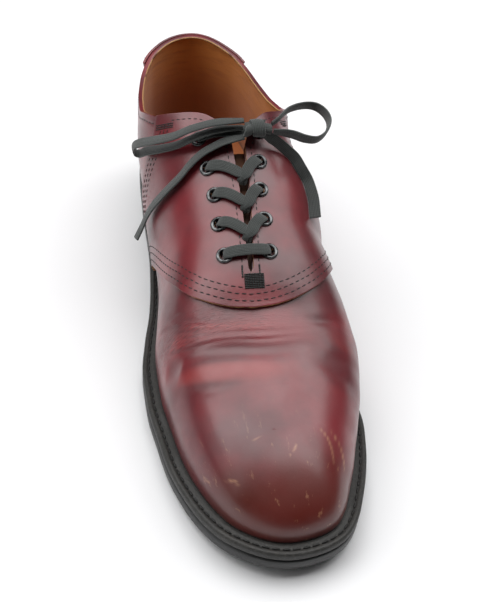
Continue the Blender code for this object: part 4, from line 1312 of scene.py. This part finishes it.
@dataclass
class UpperUnit:
    """The upper, its saddle and heel band, and every seam that shows on them."""

    hide: Hide
    pattern: Pattern
    stitches: StitchRun
    wall: float
    overlay_gap: float
    saddle_thickness: float
    band_thickness: float
    slit_margin: float

    def build(self) -> None:
        """Make the upper's pieces."""
        self.upper()
        self.saddle()
        self.heel_band()
        self.seams()

    def upper(self) -> bpy.types.Object:
        """The vamp and quarters as one walled shell, with its lining and its collar seam pressed in."""
        last, pattern = self.hide.last, self.pattern
        station = np.concatenate([
            station_of(np.linspace(0.0, float(angle_of(0.12)), 22)), np.linspace(0.13, 0.60, 56)[:-1],
            [last.slit_last_open - 0.008, last.slit_last_open, last.slit_foot],
            np.linspace(0.632, 0.80, 84), np.linspace(0.808, last.toe_pole, 10),
            station_of(np.linspace(float(angle_of(last.toe_pole)), math.pi, 30))[1:]])[:, None]
        columns = 1 - np.linspace(1.0, 0.0, 84) ** 1.08
        grids = {side: (station, last.top_share(side, station) * columns) for side in Side}
        row = [(pattern.collar(side, pattern.opening_row, 0.086, 0.318, 0.0), 0.0006) for side in Side]
        obj = self.hide.sheet("leather_upper", grids, 0.0, (), row)
        self.hide.wall(obj, self.wall, False, (1, 0))
        finishes = self.hide.finishes
        return self.hide.finish(obj, (finishes.leather, finishes.lining), "leather", "upper")

    def saddle(self) -> bpy.types.Object:
        """The overlay with its scooped front edge."""
        last, pattern = self.hide.last, self.pattern
        rear, front = SADDLE_EDGES.read("rear", 1.0), SADDLE_EDGES.read("front", 1.0)
        closing = (last.slit_foot - rear) / (front - rear)
        opened = closing * (last.slit_last_open - rear) / (last.slit_foot - rear)
        forward = np.concatenate([np.linspace(0.0, opened, 110), np.linspace(closing, 1.0, 22)])[:, None]
        up = 1 - np.linspace(1.0, 0.0, 96) ** 1.1
        station = SADDLE_EDGES.read("rear", up) * (1 - forward) + SADDLE_EDGES.read("front", up) * forward
        grids = {}
        for side in Side:
            top = last.top_share(side, station[:, -1:], self.slit_margin)
            grids[side] = (station, pattern.hem + (top - pattern.hem) * up)
        seams = [(pattern.front(row), 0.00055) for row in pattern.front_rows]
        for side in Side:
            seams += [(pattern.rear(side, row), 0.0006) for row in pattern.rear_rows]
            facing = pattern.collar(side, pattern.opening_row, 0.322, last.slit_last_open, pattern.lift)
            seams.append((facing, 0.0006))
        edges = [pattern.front(0.0)] + [pattern.rear(side, 0.0) for side in Side]
        edges += [pattern.collar(side, 0.0, 0.318, last.slit_last_open, pattern.lift) for side in Side]
        obj = self.hide.sheet("leather_saddle", grids, self.overlay_gap, edges, seams)
        self.hide.wall(obj, self.saddle_thickness, True, (0, 1))
        finishes = self.hide.finishes
        return self.hide.finish(obj, (finishes.leather, finishes.raw_edge), "leather", "saddle")

    def heel_band(self) -> bpy.types.Object:
        """The narrow band over the heel's back seam."""
        last, pattern = self.hide.last, self.pattern
        up = np.linspace(0.0, 1.0, 60)
        edge = angle_of(BAND_EDGE.read("edge", up))
        station = station_of(np.linspace(0.0, 1.0, 26)[:, None] * edge)
        grids = {}
        for side in Side:
            top = last.top_share(side, station[:, -1:])
            grids[side] = (station, pattern.hem + (top - pattern.hem) * up)
        seams = [(pattern.band(side, row), 0.0005) for side in Side for row in pattern.band_rows]
        edges = [pattern.band(side, 0.0) for side in Side]
        obj = self.hide.sheet("leather_heel_band", grids, self.overlay_gap, edges, seams)
        self.hide.wall(obj, self.band_thickness, True, (0, 0))
        return self.hide.finish(obj, (self.hide.finishes.leather,), "leather", "heel_band")

    def seams(self) -> None:
        """Sew the rows."""
        last, pattern, finishes = self.hide.last, self.pattern, self.hide.finishes
        front = [pattern.front(row) for row in pattern.front_rows]
        self.stitches.sew("stitches_saddle_front", front, finishes.thread, 0.0033, 0.0023, 0.00030)
        sides = [pattern.rear(side, row) for side in Side for row in pattern.rear_rows]
        sides += [pattern.collar(side, pattern.opening_row, 0.336, last.slit_last_open - 0.002, pattern.lift)
                  for side in Side]
        self.stitches.sew("stitches_saddle_sides", sides, finishes.thread, 0.0030, 0.0020, 0.00026)
        collar = [pattern.collar(side, pattern.opening_row, 0.086, 0.312, 0.0) for side in Side]
        self.stitches.sew("stitches_collar", collar, finishes.thread, 0.0029, 0.0020, 0.00024)
        band = [pattern.band(side, row) for side in Side for row in pattern.band_rows]
        self.stitches.sew("stitches_heel_band", band, finishes.thread, 0.0027, 0.0019, 0.00024)
        frayed = [pattern.collar(side, 0.0004, 0.0, 0.40, -self.wall - 0.0001) for side in Side]
        self.stitches.sew("frayed_lining_edge", frayed, finishes.raw_edge, 0.0010, 0.0019, 0.00055)
        self.bar_tacks()

    def bar_tacks(self) -> None:
        """Close stitches across the slit's foot and the tops of the rear seams."""
        last, pattern, finishes = self.hide.last, self.pattern, self.hide.finishes
        rows = []
        for step in range(9):
            station = last.slit_foot + 0.002 + 0.0023 * step
            rows.append(last.across_ridge(np.linspace(-0.0026, 0.0050, 24), np.full(24, station),
                                          pattern.lift + 0.0002)[0])
        for offset in (-0.0039, 0.0039):
            stations = np.linspace(last.slit_foot - 0.010, last.slit_foot + 0.004, 16)
            rows.append(last.across_ridge(np.full(16, offset), stations, pattern.lift + 0.0002)[0])
        self.stitches.sew("bar_tack_throat", rows, finishes.black_thread, 0.0011, 0.0015, 0.00042)
        tacks = []
        for side in Side:
            flat = pattern.opening(side, 0.318, 0.336, 30)
            for row in range(3):
                tacks.append(pattern.solid(pattern.moved(flat, -side.value * (0.0042 + 0.0008 * row))))
        self.stitches.sew("bar_tacks_collar", tacks, finishes.black_thread, 0.0010, 0.0014, 0.00034)


@dataclass
class SoleUnit:
    """Outsole, heel, welt and insole."""

    last: Last
    finishes: Finishes
    stitches: StitchRun
    welt_grip: float
    lift_thickness: float
    heel_taper: float
    heel_breast: float
    stitch_inset: float = 0.0030

    def build(self) -> None:
        """Make the sole's pieces."""
        last, finishes = self.last, self.finishes
        angles = np.linspace(0.0, math.pi, 120)
        edge = 0.0010
        layers = (
            (0.0016, last.underside), (0.0006, lambda y: last.underside(y) + 0.0005),
            (0.0, lambda y: last.underside(y) + 0.0016),
            (0.0, lambda y: last.underside(y) + last.sole_thickness - 0.0012),
            (edge * 0.5, lambda y: last.underside(y) + last.sole_thickness - 0.0004),
            (edge * 1.3, lambda y: last.underside(y) + last.sole_thickness),
        )
        new_piece("sole", self.slab("sole", angles, layers), [finishes.sole], "rubber", "outsole")
        heel = np.linspace(0.0, float(angle_of(self.heel_breast)), 60)
        foot = self.lift_thickness + last.seat_gap
        stack = (
            (self.heel_taper, self.level(foot)), (self.heel_taper * 0.55, self.level(foot + 0.004)),
            (0.0001, lambda y: last.underside(y) - last.seat_gap),
        )
        new_piece("heel_layers", self.slab("heel_layers", heel, stack), [finishes.stack], "stacked_heel",
                  "heel_stack")
        lift = (
            (self.heel_taper + 0.0008, self.level(0.0)), (self.heel_taper, self.level(0.0008)),
            (self.heel_taper, self.level(self.lift_thickness - 0.0005)),
            (self.heel_taper + 0.0005, self.level(self.lift_thickness)),
        )
        new_piece("top_lift", self.slab("top_lift", heel, lift), [finishes.sole], "rubber", "heel_lift")
        new_piece("welt_strip", self.welt(), [finishes.welt], "welt", "welt")
        rows = []
        for side in Side:
            angle = np.linspace(float(angle_of(0.22)), math.pi, 400)
            plan = last.inset_outline(side, angle, self.stitch_inset)
            rows.append(last.placed(plan[:, 0], plan[:, 1], last.welt_top(plan[:, 1]) - 0.0001))
        self.stitches.sew("stitches_welt", rows, finishes.black_thread, 0.0042, 0.0034, 0.00050, "welt")
        insole = bpy.data.objects["insole"]
        insole.data.materials.clear()
        insole.data.materials.append(finishes.lining)
        tongue = bpy.data.objects["tongue"]
        tongue.data.materials.clear()
        tongue.data.materials.append(finishes.tongue)

    @staticmethod
    def level(height: float) -> Callable[[np.ndarray], np.ndarray]:
        """A height function that is the same everywhere."""
        return lambda along: np.full(np.shape(along), height)

    def slab(self, name: str, angles: np.ndarray,
             layers: Sequence[tuple[float, Callable[[np.ndarray], np.ndarray]]]) -> bpy.types.Mesh:
        """A closed body from stacked outlines, each an inset and a height function."""
        count = len(angles)
        ring, points = 2 * count, []
        for inset, height in layers:
            for side in Side:
                plan = self.last.inset_outline(side, angles, np.full(count, inset))
                points.append(self.last.placed(plan[:, 0], plan[:, 1], height(plan[:, 1])))
        points, faces = np.vstack(points), []
        for k in range(len(layers) - 1):
            low, high = k * ring, (k + 1) * ring
            for i in range(count - 1):
                faces.append((low + i, low + i + 1, high + i + 1, high + i))
                a, b = low + count + i, high + count + i
                faces.append((b, b + 1, a + 1, a))
            end, other = count - 1, 2 * count - 1
            faces.append((low + end, low + other, high + other, high + end))
        top = (len(layers) - 1) * ring
        for i in range(count - 1):
            faces.append((count + i, count + i + 1, i + 1, i))
            faces.append((top + i, top + i + 1, top + count + i + 1, top + count + i))
        mesh = mesh_of(name, points, [f for f in faces if self.corners(points, f) > 2])
        mesh.set_sharp_from_angle(angle=math.radians(50))
        return mesh

    @staticmethod
    def corners(points: np.ndarray, face: Sequence[int]) -> int:
        """How many different places a face's corners have."""
        return len({tuple(np.round(points[i] / 0.00001).astype(int)) for i in face})

    def welt(self) -> bpy.types.Mesh:
        """The ring on the sole, with a worn outer edge, a stitch channel and a rib against the upper."""
        last = self.last
        angles = np.linspace(0.0, math.pi, 260)
        inner_rise = last.welt_thickness
        shape = (
            (0.0012, 0.0), (0.0002, 0.0005), (0.0, 0.0014), (0.0, inner_rise - 0.0014),
            (0.0004, inner_rise - 0.0004), (0.0012, inner_rise), (self.stitch_inset - 0.0008, inner_rise),
            (self.stitch_inset - 0.0004, inner_rise - 0.0004),
            (self.stitch_inset + 0.0004, inner_rise - 0.0004),
            (self.stitch_inset + 0.0008, inner_rise),
        )
        rings = []
        for side, order in ((Side.LATERAL, angles), (Side.MEDIAL, angles[::-1][1:-1])):
            wall = last.ledge(order)
            reach = wall + self.welt_grip
            insets = [np.full(len(order), inset) for inset, _ in shape]
            heights = [rise for _, rise in shape]
            insets += [np.maximum(wall - 0.0004, self.stitch_inset + 0.001), reach, reach]
            heights += [inner_rise, inner_rise, 0.0]
            columns = []
            for inset, rise in zip(insets, heights):
                plan = last.inset_outline(side, order, inset)
                columns.append(last.placed(plan[:, 0], plan[:, 1], last.welt_foot(plan[:, 1]) + rise))
            rings.append(np.stack(columns, axis=1))
        loop = np.vstack(rings)
        count, size = loop.shape[:2]
        faces = []
        for i in range(count):
            here, there = i * size, (i + 1) % count * size
            for k in range(size):
                n = (k + 1) % size
                faces.append((here + k, there + k, there + n, here + n))
        return mesh_of("welt_strip", loop.reshape(-1, 3), faces)


@dataclass
class Eyelets:
    """Flanged rings, five on each facing."""

    last: Last
    finish: bpy.types.Material
    seat: float
    bore: float
    tube: float
    flange: float
    height: float
    depth: float
    segments: int = 40

    def places(self) -> list[tuple[str, np.ndarray, np.ndarray]]:
        """Each eyelet's side and number, its seat and its outward normal."""
        found = []
        for number, station, lateral, medial in EYELET_PAIRS:
            for side, offset in ((Side.LATERAL, -lateral), (Side.MEDIAL, medial)):
                point, normal = self.last.across_ridge(np.array([offset]), np.array([station]), self.seat)
                found.append((f"{side.label}_{number}", point[0], normal[0]))
        return found

    def build(self) -> None:
        """Turn each ring from one profile."""
        crown = np.linspace(0.0, math.pi, 9)
        middle, half = (self.flange + self.bore) / 2, (self.flange - self.bore) / 2
        rim = [(middle + half * math.cos(a), self.height * math.sin(a) ** 0.7) for a in crown]
        profile = [(self.tube, -self.depth), (self.tube, 0.0)] + rim + [(self.bore, -self.depth)]
        for label, seat, normal in self.places():
            self.ring(f"ring_{label}", f"eyelet_{label}", profile, Vector(seat), Vector(normal))

    def ring(self, name: str, node: str, profile: Sequence[tuple[float, float]], seat: Vector,
             normal: Vector) -> None:
        """One ring, turned about its normal."""
        across = normal.orthogonal().normalized()
        other = normal.cross(across)
        points, size = [], len(profile)
        for k in range(self.segments):
            turn = 2 * math.pi * k / self.segments
            spoke = across * math.cos(turn) + other * math.sin(turn)
            points += [seat + spoke * radius + normal * height for radius, height in profile]
        faces = []
        for k in range(self.segments):
            here, there = k * size, (k + 1) % self.segments * size
            for i in range(size):
                n = (i + 1) % size
                faces.append((there + i, there + n, here + n, here + i))
        mesh = mesh_of(name, np.array([tuple(p) for p in points]), faces)
        mesh.set_sharp_from_angle(angle=math.radians(60))
        new_piece(name, mesh, [self.finish], "eyelet_metal", node)


class Lay(Enum):
    """Which way a lace's width lies."""

    ACROSS_SHOE = "its width runs along the shoe"
    ON_EDGE = "it stands on its edge"
    FACING_TOE = "it faces the toe"


@dataclass
class Lace:
    """Flat cotton lace: its crossings, and the bow on top."""

    last: Last
    finish: bpy.types.Material
    width: float
    thickness: float
    rest_lift: float
    ribs: int = 5
    step: float = 0.0009
    tuck: tuple[float, float, float] = (0.0185, 0.1286, 0.1012)

    def ring(self) -> tuple[np.ndarray, np.ndarray]:
        """The lace's section: a flat oval with shallow ribs, in shares of half its width and thickness."""
        turn = np.linspace(0.0, 2 * math.pi, 33)[:-1]
        x = np.sign(np.cos(turn)) * np.abs(np.cos(turn)) ** 0.55
        y = np.sign(np.sin(turn)) * np.abs(np.sin(turn)) ** 0.55
        return x, y * (1 + 0.10 * np.cos(self.ribs * math.pi * x))

    def ribbon(self, path: np.ndarray, hints: np.ndarray, widths: np.ndarray, thick: np.ndarray,
               start: int = 0) -> tuple[np.ndarray, list[tuple[int, ...]], np.ndarray]:
        """A ribbon's points, faces and flat pattern along a path.

        Args:
            path: The path's points.
            hints: The way its width lies at each point.
            widths: Its width at each point.
            thick: Its thickness at each point.
            start: Number of its first point.

        Returns:
            Points, faces and pattern coordinates.
        """
        along = np.gradient(path, axis=0)
        along /= np.linalg.norm(along, axis=1, keepdims=True)
        across = hints - (hints * along).sum(axis=1, keepdims=True) * along
        across /= np.linalg.norm(across, axis=1, keepdims=True)
        up = np.cross(across, along)
        x, y = self.ring()
        size = len(x)
        points = (path[:, None] + across[:, None] * (x[:, None] * widths[:, None, None] / 2)
                  + up[:, None] * (y[:, None] * thick[:, None, None] / 2))
        run = np.concatenate([[0.0], np.cumsum(np.linalg.norm(np.diff(path, axis=0), axis=1))])
        pattern = np.stack(np.broadcast_arrays(run[:, None], x * self.width / 2), axis=-1)
        faces = []
        for i in range(len(path) - 1):
            for k in range(size):
                n = (k + 1) % size
                here, there = start + i * size, start + (i + 1) * size
                faces.append((here + k, there + k, there + n, here + n))
        last = start + (len(path) - 1) * size
        faces.append(tuple(start + k for k in range(size)))
        faces.append(tuple(last + k for k in range(size))[::-1])
        return points.reshape(-1, 3), faces, pattern.reshape(-1, 2)

    def arm(self, places: Sequence[tuple[float, float, float]], narrow: tuple[bool, bool],
            start: int) -> tuple[np.ndarray, list[tuple[int, ...]], np.ndarray]:
        """A stretch of lace over the facings, narrowed where it goes down a hole or into the slit.

        Args:
            places: Offset across, station and lift of each point.
            narrow: Whether its first and its last end go down.
            start: Number of its first point.

        Returns:
            Points, faces and pattern coordinates.
        """
        rows = np.array(places)
        points, normals = self.last.across_ridge(rows[:, 0], rows[:, 1], rows[:, 2])
        path = smooth_path(points, self.step)
        t = np.linspace(0.0, 1.0, len(path))
        blend = np.linspace(0.0, 1.0, len(normals))
        normal = np.stack([np.interp(t, blend, normals[:, k]) for k in range(3)], axis=1)
        chord = path[-1] - path[0]
        hints = np.cross(np.broadcast_to(chord, normal.shape), normal)
        run = t * np.linalg.norm(np.diff(path, axis=0), axis=1).sum()
        squeeze = np.ones(len(path))
        if narrow[0]:
            squeeze = np.minimum(squeeze, np.clip(0.56 + (run - 0.0035) / 0.008, 0.56, 1.0))
        if narrow[1]:
            squeeze = np.minimum(squeeze, np.clip(0.56 + (run[-1] - run - 0.0035) / 0.008, 0.56, 1.0))
        return self.ribbon(path, hints, self.width * squeeze, self.thickness * (1.55 - 0.55 * squeeze), start)

    def joined(self, name: str, node: str, parts: Sequence[tuple]) -> bpy.types.Object:
        """Put stretches together as one piece for a CAD node."""
        points = np.vstack([part[0] for part in parts])
        faces = [face for part in parts for face in part[1]]
        uv = np.vstack([part[2] for part in parts])
        mesh = mesh_of(name, points, faces, uv, merge=0.0000001)
        mesh.set_sharp_from_angle(angle=math.radians(70))
        return new_piece(name, mesh, [self.finish], "lace", node)

    @staticmethod
    def hole(offset: float, station: float, over: float) -> list[tuple[float, float, float]]:
        """Places from inside an eyelet up over its rim, by offset across, station and lift."""
        inward = 0.0006 if offset > 0 else -0.0006
        return [(offset, station, -0.0016), (offset, station, 0.0010), (offset - inward, station, over - 0.0008)]

    def rows(self) -> None:
        """The straight bar at the slit's foot, and the crossings above it, through the eyelets."""
        low, over = self.rest_lift - 0.0004, self.rest_lift + 0.0002
        for number, station, lateral, medial in EYELET_PAIRS:
            dip = LACE_DIPS[number]
            if number in (1, 5):
                middle = [(t * (medial if t > 0 else lateral), station + dip * (1 - abs(t)), over)
                          for t in (-0.62, -0.3, 0.0, 0.3, 0.62)]
                places = (self.hole(-lateral, station, over) + middle
                          + self.hole(medial, station, over)[::-1])
                parts = [self.arm(places, (True, True), 0)]
            else:
                parts = []
                for side, offset, lift in ((-1, lateral, low), (1, medial, over)):
                    far = 0.0016 if side > 0 else 0.0004
                    places = self.hole(side * offset, station, over) + [
                        (side * offset * 0.66, station + dip * 0.16, lift),
                        (side * offset * 0.33, station + dip * 0.58, lift),
                        (side * 0.0006, station + dip * 1.06, lift - 0.0002),
                        (-side * far, station + dip * 1.34, lift - 0.0016),
                        (-side * far, station + dip * 1.44, 0.0006)]
                    parts.append(self.arm(places, (True, True), sum(len(p[0]) for p in parts)))
            node = "lace_bar_1" if number == 1 else f"lace_crossing_{number}"
            self.joined(f"flat_{node}", node, parts)

    def hints(self, lay: Lay, path: np.ndarray) -> np.ndarray:
        """The way the lace's width lies along a path."""
        if lay is Lay.ACROSS_SHOE:
            return np.broadcast_to(np.array([0.0, 1.0, 0.0]), path.shape)
        if lay is Lay.ON_EDGE:
            return np.broadcast_to(np.array([0.15, -0.35, 0.92]), path.shape)
        return np.broadcast_to(np.array([1.0, 0.0, 0.35]), path.shape)

    def bow(self) -> None:
        """The knot, and the loops and ends that leave it as free cords."""
        knot = self.knot()
        lays = {"lace_loop_lateral": Lay.ACROSS_SHOE, "lace_loop_medial": Lay.ON_EDGE,
                "lace_end_lateral": Lay.ACROSS_SHOE, "lace_end_medial": Lay.FACING_TOE}
        for node, lay in lays.items():
            route = np.array(LACE_ROUTES[node])
            if node == "lace_end_medial":
                route = np.vstack([self.tuck, route])
            path = smooth_path(self.last.placed(route[:, 0], route[:, 1], route[:, 2]), self.step)
            loop = "loop" in node
            t = np.linspace(0.0, 1.0, len(path))
            pinch = np.clip(0.62 + np.minimum(t, 1 - t if loop else t) * 5, 0.62, 1.0)
            points, faces, uv = self.ribbon(path, self.hints(lay, path), self.width * pinch,
                                            self.thickness * (1.4 - 0.4 * pinch))
            mesh = mesh_of(node, points, faces, uv, merge=0.0000001)
            mesh.set_sharp_from_angle(angle=math.radians(70))
            piece = new_piece(f"flat_{node}", mesh, [self.finish], "lace", node)

    def knot(self) -> bpy.types.Object:
        """A band wrapped round the laces' bases, over a slanted turn beneath."""
        route = np.array(LACE_ROUTES["lace_knot"])
        core = self.last.placed(route[:, 0], route[:, 1], route[:, 2])
        centre = core.mean(axis=0)
        turn = np.linspace(-0.3, 2.2 * math.pi, 60)
        wrap = centre + np.stack([0.0010 * (turn / math.pi - 1), 0.0040 * np.cos(turn),
                                  0.0034 * np.sin(turn)], axis=1)
        slant = centre + np.stack([-0.0034 + 0.0022 * np.cos(turn), 0.0036 * np.cos(turn + 0.5),
                                   0.0027 * np.sin(turn + 0.2) - 0.0007], axis=1)
        parts = []
        for path, hint, width, thick in (
                (smooth_path(core, self.step), (0.0, 1.0, 0.2), 0.0052, 0.0032),
                (smooth_path(wrap, self.step), (1.0, 0.0, 0.0), 0.0060, 0.0014),
                (smooth_path(slant, self.step), (1.0, 0.35, 0.2), 0.0046, 0.0015)):
            hints = np.broadcast_to(np.array(hint), path.shape)
            parts.append(self.ribbon(path, hints, np.full(len(path), width), np.full(len(path), thick),
                                     sum(len(p[0]) for p in parts)))
        return self.joined("flat_lace_knot", "lace_knot", parts)


@dataclass
class Studio:
    """A pale floor, soft lights and the photograph's camera."""

    last: Last
    camera_across: float = -0.0728
    camera_along: float = 0.4872
    camera_height: float = 0.3387
    heading: Color = (0.0957, 0.9954, 0.0)
    pitch: float = 43.614
    pan: float = 6.6
    lens: float = 53.8
    back_lean: float = 0.30
    glow: tuple[float, ...] = (0.10, 1.05, 0.24, 3.6)

    def build(self) -> None:
        """Set the stage."""
        bpy.context.scene.view_settings.view_transform = "Standard"
        self.camera()
        self.floor()
        self.lights()

    def camera(self) -> None:
        """The camera, panned from the photograph's middle to this shoe."""
        data = bpy.data.cameras.new("camera")
        data.lens = self.lens
        data.clip_start = 0.01
        obj = bpy.data.objects.new("camera", data)
        bpy.context.scene.collection.objects.link(obj)
        obj.location = self.last.placed(self.camera_across, self.camera_along, self.camera_height)
        down = math.radians(self.pitch)
        view = Vector((self.heading[0] * math.cos(down), self.heading[1] * math.cos(down), -math.sin(down)))
        right = view.cross(Vector((0.0, 0.0, 1.0))).normalized()
        up = right.cross(view)
        turn = math.radians(self.pan)
        aimed = view * math.cos(turn) + right * math.sin(turn)
        side = aimed.cross(up).normalized()
        axes = Matrix((side, side.cross(aimed), -aimed)).transposed().to_4x4()
        obj.matrix_world = Matrix.Translation(obj.location) @ axes
        bpy.context.scene.camera = obj

    def floor(self) -> None:
        """A wide pale floor."""
        mesh = bpy.data.meshes.new("floor")
        mesh.from_pydata([(-3, -3, 0), (3, -3, 0), (3, 3, 0), (-3, 3, 0)], [], [(0, 1, 2, 3)])
        shader = Shader("pale_floor")
        shader.set(Base_Color=(0.86, 0.86, 0.87, 1.0), Roughness=0.7)
        mesh.materials.append(shader.material)
        obj = bpy.data.objects.new("floor", mesh)
        bpy.context.scene.collection.objects.link(obj)

    def lights(self) -> None:
        """Broad soft lights: a sky that glows brighter behind for the vamp's sheen, one lamp above and one at
        the left side.
        """
        world = bpy.data.worlds.new("studio")
        world.use_nodes = True
        tree = world.node_tree
        new, link = tree.nodes.new, tree.links.new
        split = new("ShaderNodeSeparateXYZ")
        link(new("ShaderNodeTexCoord").outputs["Generated"], split.inputs[0])
        lean = new("ShaderNodeMath")
        lean.operation = "MULTIPLY_ADD"
        lean.inputs[1].default_value = self.back_lean
        link(split.outputs["Y"], lean.inputs[0])
        link(split.outputs["Z"], lean.inputs[2])
        glow = new("ShaderNodeMapRange")
        glow.interpolation_type = "SMOOTHSTEP"
        for key, value in zip(("From Min", "From Max", "To Min", "To Max"), self.glow):
            glow.inputs[key].default_value = value
        link(lean.outputs[0], glow.inputs["Value"])
        link(glow.outputs[0], tree.nodes["Background"].inputs["Strength"])
        bpy.context.scene.world = world
        self.area("top_light", (0.0, 0.30, 1.40), (3.6, 1.2), 46.0)
        self.area("left_light", (-1.3, -0.2, 0.8), (0.9, 0.9), 3.0)

    def area(self, name: str, place: Color, size: tuple[float, float], power: float) -> None:
        """A flat light aimed at the shoe."""
        data = bpy.data.lights.new(name, "AREA")
        data.shape = "RECTANGLE"
        data.size, data.size_y = size
        data.energy = power
        obj = bpy.data.objects.new(name, data)
        bpy.context.scene.collection.objects.link(obj)
        obj.location = place
        obj.rotation_euler = (Vector((0.0, 0.0, 0.04)) - Vector(place)).to_track_quat("-Z", "Y").to_euler()


def corners(pair: Sequence[Sequence[float]]) -> list[list[float]]:
    """A box's two corners as plain lists."""
    return [[float(v) for v in corner] for corner in pair]


def main() -> None:
    """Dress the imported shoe."""
    logging.basicConfig(level=logging.INFO, format="%(name)s: %(message)s")
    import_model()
    low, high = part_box("outsole")
    width = (high.x - low.x) / (PLAN.column["medial"].max() + PLAN.column["lateral"].max())
    last = Last(length=high.y - low.y, sole_width=width)
    finishes = make_finishes()
    Studio(last).build()
    seat = OVERLAY_GAP + SADDLE_THICKNESS
    rings = Eyelets(last, finishes.metal, seat + last.seat_gap, EYELET_BORE_RADIUS, EYELET_TUBE_RADIUS,
                    EYELET_FLANGE_RADIUS, EYELET_FLANGE_HEIGHT, seat + WALL)
    rest = seat + last.seat_gap + EYELET_FLANGE_HEIGHT + LACE_GAP + LACE_THICKNESS / 2
    lace = Lace(last, finishes.cotton, LACE_WIDTH, LACE_THICKNESS, rest)
    lace.bow()
    lace.rows()
    rings.build()
    stitches = StitchRun()
    SoleUnit(last, finishes, stitches, WELT_GRIP, LIFT_THICKNESS, HEEL_TAPER, HEEL_BREAST).build()
    seats = np.array([place for _, place, _ in rings.places()])
    hide = Hide(last, Creases(last), finishes, seats)
    UpperUnit(hide, Pattern(last, seat), stitches, WALL, OVERLAY_GAP, SADDLE_THICKNESS, BAND_THICKNESS,
              SLIT_MARGIN).build()


if __name__ == "__main__":
    main()
